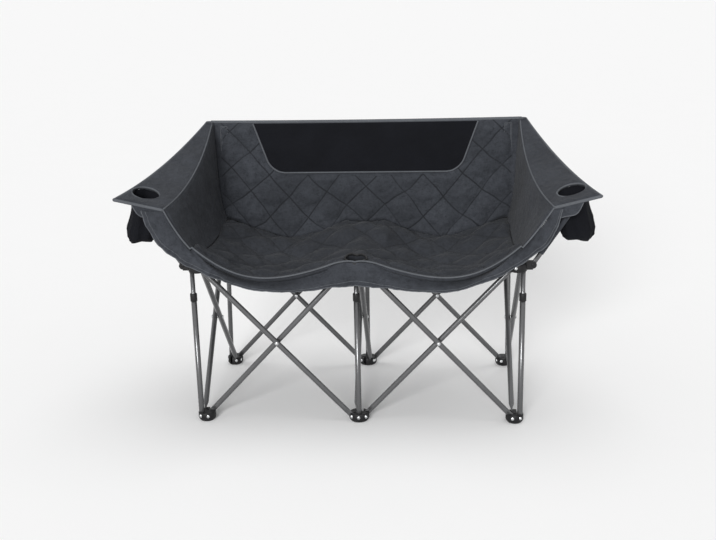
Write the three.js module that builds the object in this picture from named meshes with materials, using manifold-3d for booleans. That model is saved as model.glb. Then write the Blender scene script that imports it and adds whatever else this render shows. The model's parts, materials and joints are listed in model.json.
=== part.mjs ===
// Folding two-seat camping chair: a six-legged scissor frame that carries a padded bucket of fabric.
// Millimetres, +Z up, +X to the sitter's left, the front faces -Y, the origin on the ground under the middle.

import * as THREE from 'three';
import { mergeVertices } from 'three/addons/utils/BufferGeometryUtils.js';
import Module from 'manifold-3d';

const wasm = await Module();
wasm.setup();

// Driving dimensions of the scissor frame
const columnSpacing = 490;
const footPivotHeight = 18;
const hubPivotHeight = 507;
const centrePivotOffset = 22;
const cornerPivotInset = 8;
const sidePivotInset = 15;
const sidePlaneOutset = 2;
const layerPitch = 18;

// Tubes
const crossTubeRadius = 8.5;
const outerPostRadius = 8.75;
const innerPostRadius = 7;
const tubeWall = 1.2;
const tubeSides = 8;
const tabHalfThickness = 3;
const tabHalfWidth = 8;
const tabOverrun = 6.5;
const tabLength = 20;
const tabTransition = 14;

// Rivets and pins
const rivetRadius = 3;
const rivetHoleRadius = 3.75;
const rivetHeadRadius = 5.2;
const rivetHeadHeight = 1.8;
const rivetSides = 6;
const pinSeatGap = 0.3;

// Feet and hubs
const cornerBlockHalfWidth = 28;
const centreBlockHalfWidth = 32;
const blockHalfDepth = 29;
const footHeight = 28;
const hubHeight = 27;
const hubRoof = 13;
const blockSides = 12;
const slotGap = 0.75;
const slotReach = 11.3;
const footLowShare = 0.84;
const footHighShare = 0.9;
const hubLowShare = 0.94;
const hubHighShare = 0.84;
const rivetGrip = 2.2;

// Telescoping posts
const postOutset = 8;
const postSideOutset = 24;
const postFoot = 6;
const collarDrop = 95;
const collarHeight = 25;
const collarLip = 4;
const collarWall = 1.6;
const fitGap = 0.5;
const innerPostReach = 315;
const socketRoof = 4;

// Back posts: each one is hinged in a rear foot, leans back and runs through a sleeve on the hub
const backPostRadius = 8.25;
const backPostInset = 15;
const sleeveOffset = 60;
const sleeveGap = 1.2;
const sleeveWall = 3;
const sleeveSlack = 3.2;
const hingeGap = 1;

// Fabric
const padThickness = 14;
const quiltDiagonal = 138;
const diamondCells = 4;
const quiltPuff = 7;
const edgeFade = 8;
const seatRows = 8;
const backRows = 11;
const sewGap = 0.6;
const seamGap = 0.8;
const foldGap = 4;

// Seat
const seatOutset = 5;
const foldInset = 35;
const lipLift = 2;
const lipDip = 49;
const lipRise = 55;
const lipShoulder = 16;
const lipShoulderPlace = 52;
const lipShoulderReach = 34;
const seatDrop = 20;
const seatDip = 55;
const seatRise = 22;
const foldRise = 12;
const rearDip = 60;
const hubClearance = 1.6;
const hubNotchBack = 22;
const hubNotchSide = 10;
const tentReach = 36;
const tentSlope = 0.45;
const lipSkewShare = 1.4;
const seatSkewShare = 1.1;

// Backrest and its mesh window
const backOverhang = 50;
const backRise = 357;
const backTopSag = 13;
const windowInset = 19;
const windowHeight = 156;
const windowTopHalfWidth = 388;
const windowBottomHalfWidth = 300;
const windowCorner = 28;
const windowThickness = 3;
const windowMarginShare = 1.4;
const windowColumns = 16;
const windowRows = 5;

// Arms, each one padded shell from the seat's side up to the piping and out to the arm's outer edge.
// Each place is a distance outward from the seat's side and a height above the hubs.
const armSeam = 6;
const armSections = {
  front: { base: [armSeam, 48], knee: [42, 92], piping: [93, 172], edge: [229, 206] },
  middle: { base: [armSeam, -10], knee: [38, 32], piping: [50, 228], edge: [153, 258] },
  rear: { base: [armSeam, 20], knee: [32, 40], piping: [44, 346], edge: [65, 350] },
};
const armThickness = 12;
const armColumns = 10;
const armRows = 8;
const cupOutset = 155;
const cupInset = 60;
const cupHoleRadius = 43;
const pocketRadius = 47;
const pocketBulge = 51;
const pocketBottomRadius = 36;
const pocketLift = 55;
const pocketWall = 2.5;
const pocketSides = 18;
const pocketBulgeShare = 0.33;

// Arm supports
const armPivotOutset = 44;
const armPivotLift = 6;
const armTipInset = 77;
const armTipGap = 29;
const armTubeRadius = 7;
const armLugHalfWidth = 11;
const armLugTop = 11;
const armLugWall = 4;

// Front flap
const flapThickness = 5;
const flapStandoff = 1.2;
const flapWave = 6;
const flapDrop = 82;
const flapInset = 3.5;
const flapShares = [[0, 0.77], [0.19, 0.86], [0.42, 1.02], [0.62, 0.96], [0.86, 0.46], [1.06, -0.28]];
const flapTipIn = 14;
const flapTipOut = 46;
const flapTipRise = 4;
const flapWaves = 7;
const flapColumns = 32;

const cornerPivot = columnSpacing - cornerPivotInset;
const crossSpan = cornerPivot - centrePivotOffset;
const sidePivot = crossSpan / 2;
const rowHalf = sidePivot + sidePivotInset;
const rows = [-rowHalf, rowHalf];
const fabricFront = -rowHalf - blockHalfDepth;
const seatHalfWidth = columnSpacing + seatOutset;
const foldHalfWidth = columnSpacing - foldInset;
const backHalfWidth = seatHalfWidth + backOverhang;
const cupCentre = [seatHalfWidth + cupOutset, cupInset - rowHalf];
const hubTop = hubPivotHeight + hubRoof;
const collarTop = hubTop - collarDrop;
const collarBottom = collarTop - collarHeight;
const innerPostBottom = hubTop - innerPostReach;
const lipCentre = hubTop + lipLift;
const seatMiddle = hubTop - seatDrop;
const backTop = hubTop + backRise;
const backPostTop = backTop - backPostInset;
const windowTop = backTop - windowInset;
const pocketBottom = hubTop + pocketLift;
const armPivot = [columnSpacing + armPivotOutset, hubPivotHeight + armPivotLift];
const armTipDrop = armThickness / 2 + armTubeRadius + armTipGap;
const [armEdgeOutset, armEdgeLift] = armSections.front.edge;
const armEdgeHeight = hubTop + armEdgeLift;
const armTip = [seatHalfWidth + armEdgeOutset - armTipInset, armEdgeHeight - armTipDrop];
const rise = hubPivotHeight - footPivotHeight;
const crossLength = Math.hypot(crossSpan, rise);
const crossAngle = Math.atan2(rise, crossSpan);
const cornerPost = cornerPivot + postSideOutset;
const sidePlane = columnSpacing + sidePlaneOutset;
const layer = layerPitch / 2;
const postRow = rowHalf + postOutset;
const slotHalf = tabHalfThickness + slotGap;
const sleeveRow = rowHalf + sleeveOffset;
const backSlope = (sleeveRow - postRow) / rise;

const finishes = {
  plastic: new THREE.MeshStandardMaterial({ color: 0x1a1b1c, roughness: 0.55, metalness: 0 }),
  tube: new THREE.MeshStandardMaterial({ color: 0x6c6c6d, roughness: 0.4, metalness: 0.6 }),
  rivet: new THREE.MeshStandardMaterial({ color: 0xc4c6c8, roughness: 0.3, metalness: 1 }),
  fabric: new THREE.MeshStandardMaterial({ color: 0x484b50, roughness: 0.9, metalness: 0 }),
  mesh: new THREE.MeshStandardMaterial({ color: 0x1c1e22, roughness: 0.95, metalness: 0 }),
};

const model = new THREE.Group();

function add(name, geometry, finish) {
  const mesh = new THREE.Mesh(geometry, finish);
  mesh.name = name;
  model.add(mesh);
  return mesh;
}

// Turns a closed geometry into a solid for cutting and joining.
function solidOf(geometry) {
  const plain = geometry.clone();
  plain.deleteAttribute('normal');
  plain.deleteAttribute('uv');
  const merged = mergeVertices(plain);
  const mesh = new wasm.Mesh({
    numProp: 3,
    vertProperties: new Float32Array(merged.attributes.position.array),
    triVerts: new Uint32Array(merged.index.array),
  });
  return new wasm.Manifold(mesh);
}

function geometryOf(solid) {
  const mesh = solid.getMesh();
  const geometry = new THREE.BufferGeometry();
  geometry.setAttribute('position', new THREE.BufferAttribute(new Float32Array(mesh.vertProperties), 3));
  geometry.setIndex(new THREE.BufferAttribute(new Uint32Array(mesh.triVerts), 1));
  geometry.computeVertexNormals();
  return geometry;
}

function block(low, high) {
  const size = high.map((value, k) => value - low[k]);
  const geometry = new THREE.BoxGeometry(...size);
  return solidOf(geometry.translate(...low.map((value, k) => value + size[k] / 2)));
}

// A round bar from one point to another.
function bar(radius, from, to, sides = rivetSides) {
  const start = new THREE.Vector3(...from);
  const way = new THREE.Vector3(...to).sub(start);
  const geometry = new THREE.CylinderGeometry(radius, radius, way.length(), sides);
  const turn = new THREE.Quaternion().setFromUnitVectors(new THREE.Vector3(0, 1, 0), way.clone().normalize());
  geometry.applyQuaternion(turn);
  const middle = start.clone().addScaledVector(way, 1 / 2);
  return solidOf(geometry.translate(...middle.toArray()));
}

// A closed skin over rings of points, joined end to end and back to the first ring.
function loft(rings) {
  const sides = rings[0].length;
  const index = [];
  rings.forEach((ring, r) => {
    const next = (r + 1) % rings.length;
    for (let k = 0; k < sides; k += 1) {
      const across = (k + 1) % sides;
      const [a, b, c, d] = [r * sides + k, r * sides + across, next * sides + across, next * sides + k];
      index.push(a, b, c, a, c, d);
    }
  });
  const geometry = new THREE.BufferGeometry();
  geometry.setAttribute('position', new THREE.Float32BufferAttribute(rings.flat(2), 3));
  geometry.setIndex(index);
  return geometry;
}

// A closed skin over rings of points with a flat cap at each end.
function cappedLoft(rings) {
  const sides = rings[0].length;
  const geometry = loft(rings);
  const index = Array.from(geometry.index.array).slice(0, 6 * sides * (rings.length - 1));
  const last = sides * (rings.length - 1);
  for (let k = 2; k < sides; k += 1) {
    index.push(0, k, k - 1);
    index.push(last, last + k - 1, last + k);
  }
  geometry.setIndex(index);
  return geometry;
}

// A tube along +X from one pivot to the other. Flat ends lie across Y and the pivot holes run along Y.
function crossTubeSolid(length, radius, flatFar, holes) {
  const round = [radius, radius];
  const flat = [tabHalfThickness, tabHalfWidth];
  const bore = [tabLength + tabTransition, flatFar ? length - tabLength - tabTransition : 2 * length];
  const stations = [[-tabOverrun, flat], [tabLength, flat], [bore[0], round]];
  if (flatFar) stations.push([bore[1], round], [length - tabLength, flat], [length + tabOverrun, flat]);
  else stations.push([length, round]);
  const rings = stations.map(([x, [thick, wide]]) =>
    Array.from({ length: tubeSides }, (_, k) => {
      const turn = ((k + 1 / 2) / tubeSides) * 2 * Math.PI;
      return [x, thick * Math.cos(turn), wide * Math.sin(turn)];
    }),
  );
  const hollow = bar(radius - tubeWall, [bore[0], 0, 0], [bore[1], 0, 0], tubeSides);
  let tube = solidOf(cappedLoft(rings)).subtract(hollow);
  for (const x of holes) {
    tube = tube.subtract(bar(rivetHoleRadius, [x, -2 * radius, 0], [x, 2 * radius, 0]));
  }
  return tube;
}

// One of the fourteen cross tubes. A rising tube climbs towards +X or +Y, a falling one climbs the other way.
function crossTube(name, along, low, plane, rising) {
  const holes = [0, crossLength / 2, crossLength];
  const geometry = geometryOf(crossTubeSolid(crossLength, crossTubeRadius, true, holes));
  const turn = rising ? -crossAngle : crossAngle - Math.PI;
  geometry.rotateY(turn);
  if (along === 'y') geometry.rotateZ(Math.PI / 2);
  const place = along === 'x' ? [low, plane] : [plane, low];
  return add(name, geometry.translate(...place, footPivotHeight), finishes.tube);
}

// The rivet on which two cross tubes turn at their middles.
function crossPin(name, along, across, plane) {
  const reach = layer + crossTubeRadius + pinSeatGap;
  const shank = bar(rivetRadius, [0, -reach, 0], [0, reach, 0]);
  const heads = [-1, 1].map((side) =>
    bar(rivetHeadRadius, [0, side * reach, 0], [0, side * (reach + rivetHeadHeight), 0]),
  );
  const geometry = geometryOf(shank.add(heads[0]).add(heads[1]));
  if (along === 'y') geometry.rotateZ(Math.PI / 2);
  const place = along === 'x' ? [across, plane] : [plane, across];
  return add(name, geometry.translate(...place, footPivotHeight + rise / 2), finishes.rivet);
}

// The oval body of a foot or hub, between two heights, narrower at its outer end.
function ovalBlock(x, y, halfWidth, low, high, lowShare, highShare) {
  const bevel = (high - low) / 4;
  const profile = [
    [0, low],
    [lowShare, low],
    [1, lowShare < highShare ? high - bevel : low + bevel],
    [highShare, high],
    [0, high],
  ].map(([share, height]) => new THREE.Vector2(share, height));
  const geometry = new THREE.LatheGeometry(profile, blockSides);
  geometry.rotateX(Math.PI / 2);
  geometry.scale(halfWidth, blockHalfDepth, 1);
  return solidOf(geometry.translate(x, y, 0));
}

// Everything that one column of the frame, foot or hub, has to hold.
function columnOf(x, y) {
  const side = Math.sign(x);
  const row = Math.sign(y);
  const pivots = side === 0 ? [-centrePivotOffset, centrePivotOffset] : [side * cornerPivot];
  return {
    side,
    row,
    halfWidth: side === 0 ? centreBlockHalfWidth : cornerBlockHalfWidth,
    pivots,
    post: [side * cornerPost, row * postRow],
    sideCentre: side * sidePlane,
    sidePivotY: row * sidePivot,
  };
}

// Cuts the slots for the flat tube ends and puts a rivet through each. up is 1 on a foot and -1 on a hub.
function fitTabs(body, x, y, pivotZ, up) {
  const column = columnOf(x, y);
  const far = 2 * blockHalfDepth;
  let result = body;
  const slotZ = up > 0 ? [pivotZ - slotReach, pivotZ + far] : [pivotZ - far, pivotZ + slotReach];
  for (const pivotX of column.pivots) {
    const towards = column.side === 0 ? Math.sign(pivotX) : -column.side;
    const rising = up * towards > 0;
    const plane = y + (rising ? layer : -layer);
    const slotX = [pivotX - towards * slotReach, pivotX + towards * far].sort((a, b) => a - b);
    const slot = block([slotX[0], plane - slotHalf, slotZ[0]], [slotX[1], plane + slotHalf, slotZ[1]]);
    const outside = y + column.row * (blockHalfDepth + rivetHeadHeight / 2);
    const grip = plane - column.row * (slotHalf + rivetGrip);
    const inner = y + column.row * (blockHalfDepth - 2 * rivetHeadHeight);
    result = result
      .subtract(slot)
      .add(bar(rivetRadius, [pivotX, outside, pivotZ], [pivotX, grip, pivotZ]))
      .add(bar(rivetHeadRadius, [pivotX, outside, pivotZ], [pivotX, inner, pivotZ]));
  }
  const risingSide = up * -column.row > 0;
  const plane = column.sideCentre + (risingSide ? -layer : layer);
  const inward = -column.row;
  const pivotY = column.sidePivotY;
  const slotY = [pivotY - inward * slotReach, pivotY + inward * far].sort((a, b) => a - b);
  const slot = block([plane - slotHalf, slotY[0], slotZ[0]], [plane + slotHalf, slotY[1], slotZ[1]]);
  const way = Math.sign(plane - x);
  const edge = column.halfWidth * Math.sqrt(1 - ((pivotY - y) / blockHalfDepth) ** 2);
  const outside = x + way * (edge + rivetHeadHeight / 2);
  const inside = outside - way * 3 * rivetHeadHeight;
  return result
    .subtract(slot)
    .add(bar(rivetRadius, [outside, pivotY, pivotZ], [plane - way * (slotHalf + rivetGrip), pivotY, pivotZ]))
    .add(bar(rivetHeadRadius, [outside, pivotY, pivotZ], [inside, pivotY, pivotZ]));
}

// A foot: an oval plastic shoe with a socket for its post and slots for the cross tubes.
function foot(name, x, y) {
  const column = columnOf(x, y);
  const [postX, postY] = column.post;
  const leans = column.row > 0;
  const socketRadius = leans ? backPostRadius + hingeGap : outerPostRadius + fitGap;
  const slope = leans ? backSlope : 0;
  const low = postFoot - hingeGap;
  const high = 2 * footHeight;
  const at = (z) => [postX, postY + slope * (z - footPivotHeight), z];
  const socket = bar(socketRadius, at(low), at(high), blockSides);
  const oval = ovalBlock(x, y, column.halfWidth, 0, footHeight, footLowShare, footHighShare);
  const reach = backPostRadius + hingeGap + rivetGrip;
  const outside = y + column.row * (blockHalfDepth + rivetHeadHeight / 2);
  const inside = postY - column.row * (outerPostRadius + rivetGrip);
  const shank = leans
    ? bar(rivetRadius, [postX - reach, postY, footPivotHeight], [postX + reach, postY, footPivotHeight])
    : bar(rivetRadius, [postX, outside, footPivotHeight], [postX, inside, footPivotHeight]);
  const body = oval.subtract(socket).add(shank);
  return add(name, geometryOf(fitTabs(body, x, y, footPivotHeight, 1)), finishes.plastic);
}

// The clevis on a front corner hub that the arm support turns in.
function armLug(side, y) {
  const [pivotX, pivotZ] = armPivot;
  const [back, tip] = [side * (pivotX - 2 * armLugHalfWidth), side * (pivotX + armLugHalfWidth)];
  const [x0, x1] = [back, tip].sort((a, b) => a - b);
  const depth = slotHalf + armLugWall;
  const lug = block([x0, y - depth, pivotZ - armLugTop - armLugWall], [x1, y + depth, pivotZ + armLugTop]);
  const inner = side * (pivotX - slotReach);
  const outer = side * (pivotX + 2 * armLugHalfWidth);
  const [s0, s1] = [inner, outer].sort((a, b) => a - b);
  const slot = block([s0, y - slotHalf, pivotZ - slotReach], [s1, y + slotHalf, pivotZ + 2 * armLugTop]);
  const reach = depth + rivetHeadHeight;
  const pin = bar(rivetRadius, [side * pivotX, y - reach, pivotZ], [side * pivotX, y + reach, pivotZ]);
  return { lug, slot, pin };
}

// A hub: an oval plastic joint that hangs on its post and holds the upper ends of the cross tubes.
function hub(name, x, y) {
  const column = columnOf(x, y);
  const [postX, postY] = column.post;
  const low = hubTop - hubHeight;
  let body = ovalBlock(x, y, column.halfWidth, low, hubTop, hubLowShare, hubHighShare);
  if (column.side !== 0 && column.row < 0) {
    const arm = armLug(column.side, y);
    body = body.add(arm.lug).subtract(arm.slot).add(arm.pin);
  }
  if (column.row < 0) {
    const top = hubTop - socketRoof;
    const opening = innerPostRadius + fitGap;
    const socket = bar(opening, [postX, postY, low - hubHeight], [postX, postY, top], blockSides);
    body = body.subtract(socket);
  } else {
    const hole = backPostRadius + sleeveGap;
    const skin = hole + sleeveWall;
    const at = (z) => [postX, sleeveRow + backSlope * (z - hubPivotHeight), z];
    const web = block([postX - skin, rowHalf, low], [postX + skin, sleeveRow, hubTop]);
    body = body.add(web);
    const ends = [-sleeveSlack, sleeveSlack];
    for (const shift of ends) {
      const middle = sleeveRow + shift;
      body = body.add(bar(skin, [postX, middle, low], [postX, middle, hubTop], blockSides));
    }
    for (const shift of [...ends, 0]) {
      const [from, to] = [at(low - hubHeight), at(hubTop + hubHeight)];
      from[1] += shift;
      to[1] += shift;
      body = body.subtract(bar(hole, from, to, blockSides));
    }
  }
  body = fitTabs(body, x, y, hubPivotHeight, -1);
  return add(name, geometryOf(body), finishes.plastic);
}

// A hollow round tube that stands upright.
function postTube(radius, low, high) {
  const profile = [
    [radius - tubeWall, low],
    [radius, low],
    [radius, high],
    [radius - tubeWall, high],
    [radius - tubeWall, low],
  ].map(([r, z]) => new THREE.Vector2(r, z));
  return solidOf(new THREE.LatheGeometry(profile, tubeSides).rotateX(Math.PI / 2));
}

// The collar that guides the inner post at the top of the outer one.
function collarSolid() {
  const seat = outerPostRadius + fitGap;
  const guide = innerPostRadius + fitGap;
  const skin = seat + collarWall;
  const shoulder = collarTop - collarLip;
  const profile = [
    [seat, collarBottom],
    [skin, collarBottom],
    [skin, collarTop],
    [guide, collarTop],
    [guide, shoulder],
    [seat, shoulder],
    [seat, collarBottom],
  ].map(([r, z]) => new THREE.Vector2(r, z));
  return solidOf(new THREE.LatheGeometry(profile, tubeSides).rotateX(Math.PI / 2));
}

// The outer post that stands in a front foot.
function outerPost(name, x, y) {
  const [postX, postY] = columnOf(x, y).post;
  const top = collarTop - collarLip - fitGap;
  const far = 2 * outerPostRadius;
  const cut = bar(rivetHoleRadius, [0, -far, footPivotHeight], [0, far, footPivotHeight]);
  const solid = postTube(outerPostRadius, postFoot, top).subtract(cut);
  return add(name, geometryOf(solid).translate(postX, postY, 0), finishes.tube);
}

function collar(name, x, y) {
  const [postX, postY] = columnOf(x, y).post;
  return add(name, geometryOf(collarSolid()).translate(postX, postY, 0), finishes.plastic);
}

// The inner post that hangs from a hub and slides in the outer post.
function innerPost(name, x, y) {
  const [postX, postY] = columnOf(x, y).post;
  const top = hubTop - socketRoof - fitGap;
  const geometry = geometryOf(postTube(innerPostRadius, innerPostBottom, top));
  return add(name, geometry.translate(postX, postY, 0), finishes.tube);
}

// How far back a back post's axis lies at a height.
function backPostY(z) {
  return postRow + backSlope * (z - footPivotHeight);
}

// The long leaning tube that holds the backrest. It turns on a rivet in its foot.
function backPost(name, x, y) {
  const [postX, postY] = columnOf(x, y).post;
  const lean = Math.atan(backSlope);
  const far = 2 * backPostRadius;
  const length = (backPostTop - footPivotHeight) / Math.cos(lean);
  const cut = bar(rivetHoleRadius, [-far, 0, 0], [far, 0, 0]);
  const tube = postTube(backPostRadius, postFoot - footPivotHeight + hingeGap, length);
  const geometry = geometryOf(tube.subtract(cut));
  geometry.rotateX(-lean);
  return add(name, geometry.translate(postX, postY, footPivotHeight), finishes.tube);
}

// The tube that holds up an arm's front tip and turns in the front corner hub.
function armSupport(name, side) {
  const [fromX, fromZ] = armPivot;
  const [toX, toZ] = armTip;
  const length = Math.hypot(toX - fromX, toZ - fromZ);
  const geometry = geometryOf(crossTubeSolid(length, armTubeRadius, false, [0]));
  const angle = Math.atan2(toZ - fromZ, toX - fromX);
  geometry.rotateY(side > 0 ? -angle : angle - Math.PI);
  return add(name, geometry.translate(side * fromX, -rowHalf, fromZ), finishes.tube);
}

// A closed shell over a surface, with its own thickness above and below, and a choice of diagonals.
function shell(columns, steps, at, over, under, falling = () => false, upright = null) {
  const points = [];
  const small = 1e-3;
  const normal = (u, v) => {
    if (upright) return upright;
    const [u0, u1] = [Math.max(0, u - small), Math.min(1, u + small)];
    const [v0, v1] = [Math.max(0, v - small), Math.min(1, v + small)];
    return at(u1, v).sub(at(u0, v)).cross(at(u, v1).sub(at(u, v0))).normalize();
  };
  for (const offset of [over, (u, v) => -under(u, v)]) {
    for (let i = 0; i <= columns; i += 1) {
      for (let j = 0; j <= steps; j += 1) {
        const [u, v] = [i / columns, j / steps];
        points.push(...at(u, v).addScaledVector(normal(u, v), offset(u, v)).toArray());
      }
    }
  }
  const size = (columns + 1) * (steps + 1);
  const id = (level, i, j) => level * size + i * (steps + 1) + j;
  const index = [];
  const quad = (a, b, c, d) => index.push(a, b, c, a, c, d);
  for (let i = 0; i < columns; i += 1) {
    for (let j = 0; j < steps; j += 1) {
      const square = [[i, j], [i + 1, j], [i + 1, j + 1], [i, j + 1]];
      const corners = (level) => square.map(([a, b]) => id(level, a, b));
      const [a, b, c, d] = corners(0);
      if (falling(i, j)) quad(b, c, d, a);
      else quad(a, b, c, d);
      const [e, f, g, h] = corners(1);
      quad(e, h, g, f);
    }
  }
  for (let i = 0; i < columns; i += 1) {
    quad(id(0, i, 0), id(1, i, 0), id(1, i + 1, 0), id(0, i + 1, 0));
    quad(id(0, i, steps), id(0, i + 1, steps), id(1, i + 1, steps), id(1, i, steps));
  }
  for (let j = 0; j < steps; j += 1) {
    quad(id(0, 0, j), id(0, 0, j + 1), id(1, 0, j + 1), id(1, 0, j));
    quad(id(0, columns, j), id(1, columns, j), id(1, columns, j + 1), id(0, columns, j + 1));
  }
  const geometry = new THREE.BufferGeometry();
  geometry.setAttribute('position', new THREE.Float32BufferAttribute(points, 3));
  geometry.setIndex(index);
  geometry.computeVertexNormals();
  return geometry;
}

// The height of a quilted diamond's puff, with places counted in quarter diamonds from the middle seam.
function puffAt(across, along) {
  const rising = Math.sin((Math.PI * (across + along)) / diamondCells);
  const falling = Math.sin((Math.PI * (across - along)) / diamondCells);
  return quiltPuff * Math.sqrt(Math.abs(rising * falling));
}

// Turns a cell's diagonal so that the sewn lines run along it.
function sewnFalling(across, along) {
  const wrap = (value) => ((value % diamondCells) + diamondCells) % diamondCells;
  return wrap(across + along + 1) === 0 || (wrap(across - along) !== 0 && wrap(across + along) % 2 === 0);
}

// The seat's top height at a distance from the middle, at the lip, half way back and at the rear.
function scallop(share, centre, dip, lift, skew) {
  return centre - dip * Math.sin(Math.PI * share ** skew) + lift * share ** 4;
}

// The line where the seat meets the backrest: over the rear hubs, and lower between them.
function foldHeight(x) {
  const from = centreBlockHalfWidth + tentReach;
  const share = Math.min(1, Math.max(0, (Math.abs(x) - from) / (foldHalfWidth - from)));
  const beyond = Math.max(0, (Math.abs(x) - foldHalfWidth) / (seatHalfWidth - foldHalfWidth));
  const clear = hubTop + hubClearance + padThickness;
  return clear - rearDip * Math.sin(Math.PI * share) + foldRise * beyond;
}

// The height of the lip, which stands up a little on each side of the middle hub.
function lipHeight(x) {
  const part = Math.abs(x) / seatHalfWidth;
  const away = (Math.abs(x) - lipShoulderPlace) / lipShoulderReach;
  const shoulder = lipShoulder / (1 + away ** 4);
  return scallop(part, lipCentre, lipDip, lipRise, lipSkewShare) + shoulder;
}

// How far back the unquilted front face of the backrest lies at a height.
function backFaceY(z) {
  return backPostY(z) - backPostRadius - padThickness - 2 * sewGap;
}

function seatPoint(x, share) {
  const part = Math.abs(x) / seatHalfWidth;
  const lip = lipHeight(x);
  const middle = scallop(part, seatMiddle, seatDip, seatRise, seatSkewShare);
  const rear = foldHeight(x);
  const pull = 2 * middle - (lip + rear) / 2;
  const left = 1 - share;
  const seatRear = backFaceY(rear - padThickness) - foldGap;
  const y = fabricFront + share * (seatRear - fabricFront);
  const sag = lip * left * left + 2 * pull * share * left + rear * share * share;
  const tent = rear - tentSlope * Math.max(0, rowHalf - blockHalfDepth - tentReach - y);
  const brow = lip - tentSlope * Math.max(0, y + rowHalf - blockHalfDepth);
  return new THREE.Vector3(x, y, Math.max(sag, tent, brow));
}

// The even number of quarter diamonds that fit across a width.
function cellsAcross(width) {
  return 2 * Math.round((width * diamondCells) / (2 * quiltDiagonal));
}

// Half of the seat, front or rear, quilted on top. The rows of cells are counted from the front lip.
function seatHalf(name, from, to, firstRow) {
  const columns = cellsAcross(2 * seatHalfWidth);
  const at = (u, v) => seatPoint((2 * u - 1) * seatHalfWidth, from + v * (to - from));
  const over = (u, v) => {
    const back = from + v * (to - from);
    const edge = Math.min(1, edgeFade * (1 - Math.abs(2 * u - 1)), edgeFade * back, edgeFade * (1 - back));
    return puffAt((u - 1 / 2) * columns, firstRow + v * seatRows) * edge;
  };
  const falling = (i, j) => sewnFalling(i - columns / 2, j + firstRow);
  const up = new THREE.Vector3(0, 0, 1);
  let solid = solidOf(shell(columns, seatRows, at, over, () => padThickness, falling, up));
  if (from === 0) {
    const reach = centreBlockHalfWidth + hubNotchSide;
    const back = fabricFront + blockHalfDepth * 2 + hubNotchBack;
    solid = solid.subtract(block([-reach, 2 * fabricFront, 0], [reach, back, backTop]));
  }
  return add(name, geometryOf(solid), finishes.fabric);
}

function backPoint(x, share) {
  const part = 1 - (x / backHalfWidth) ** 2;
  const low = foldHeight(x) - padThickness + sewGap;
  const high = backTop - backTopSag * part;
  const z = low + share * (high - low);
  return new THREE.Vector3(x, backFaceY(z), z);
}

// How wide the mesh window is, from its middle, at a height.
function windowHalfWidth(z) {
  const share = Math.min(1, Math.max(0, (windowTop - z) / windowHeight));
  const straight = windowTopHalfWidth + share * (windowBottomHalfWidth - windowTopHalfWidth);
  const left = Math.max(0, windowCorner - (z - (windowTop - windowHeight)));
  const trim = windowCorner - Math.sqrt(Math.max(0, windowCorner ** 2 - left ** 2));
  return straight - trim;
}

// The quilted backrest, flat under the mesh window and behind the arms.
function backrest(name) {
  const columns = cellsAcross(2 * backHalfWidth);
  const cell = (2 * backHalfWidth) / columns;
  const at = (u, v) => backPoint((2 * u - 1) * backHalfWidth, v);
  const over = (u, v) => {
    const point = at(u, v);
    const beside = Math.abs(point.x) > windowHalfWidth(point.z) + windowMarginShare * cell;
    const below = point.z < windowTop - windowHeight - windowMarginShare * cell;
    const side = (seatHalfWidth - cell / 2 - Math.abs(point.x)) / cell;
    const fade = Math.min(1, edgeFade * (1 - v), edgeFade * v, Math.max(0, side));
    return beside || below ? puffAt((u - 1 / 2) * columns, v * backRows) * fade : 0;
  };
  const falling = (i, j) => sewnFalling(i - columns / 2, j);
  return add(name, shell(columns, backRows, at, over, () => padThickness, falling), finishes.fabric);
}

// The black mesh panel sewn on the upper middle of the backrest.
function meshWindow(name) {
  const at = (u, v) => {
    const z = windowTop - windowHeight * (1 - v);
    const x = (2 * u - 1) * windowHalfWidth(z);
    const low = foldHeight(x) - padThickness + sewGap;
    const part = 1 - (x / backHalfWidth) ** 2;
    const high = backTop - backTopSag * part;
    return backPoint(x, (z - low) / (high - low));
  };
  const geometry = shell(windowColumns, windowRows, at, () => sewGap + windowThickness, () => -sewGap);
  return add(name, geometry, finishes.mesh);
}

const sectionNames = ['front', 'middle', 'rear'];

// A curve through three sections, front, middle and rear, at a share of the way back.
function blendSections(front, middle, rear, share) {
  const pull = 2 * middle - (front + rear) / 2;
  const left = 1 - share;
  return front * left * left + 2 * pull * share * left + rear * share * share;
}

// One of a section's places, from the chair's middle and the ground.
function armPlace(section, key) {
  const [outward, lift] = armSections[section][key];
  return [seatHalfWidth + outward, hubTop + lift];
}

function armPoint(side, u, v) {
  const along = (key, k) => blendSections(...sectionNames.map((name) => armPlace(name, key)[k]), v);
  const place = (key) => [along(key, 0), along(key, 1)];
  const [bx, bz] = place('base');
  const [kx, kz] = place('knee');
  const [px, pz] = place('piping');
  const [ex, ez] = place('edge');
  let [x, z] = [px + (ex - px) * (2 * u - 1), pz + (ez - pz) * (2 * u - 1)];
  if (u < 1 / 2) {
    const t = 2 * u;
    const left = 1 - t;
    x = bx * left * left + 2 * kx * t * left + px * t * t;
    z = bz * left * left + 2 * kz * t * left + pz * t * t;
  }
  const rearY = backFaceY(z) - armThickness / 2 - sewGap;
  return new THREE.Vector3(side * x, fabricFront + v * (rearY - fabricFront), z);
}

function armShell(side, over, under) {
  const at = (u, v) => armPoint(side, side > 0 ? u : 1 - u, v);
  return solidOf(shell(armColumns, armRows, at, () => over, () => under));
}

// An arm with its inner wall and the hole of the cup holder.
function arm(name, side) {
  const [x, y] = cupCentre;
  const hole = bar(cupHoleRadius, [side * x, y, pocketBottom], [side * x, y, backTop], pocketSides);
  const solid = armShell(side, armThickness / 2, armThickness / 2).subtract(hole);
  return add(name, geometryOf(solid), finishes.fabric);
}

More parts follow.
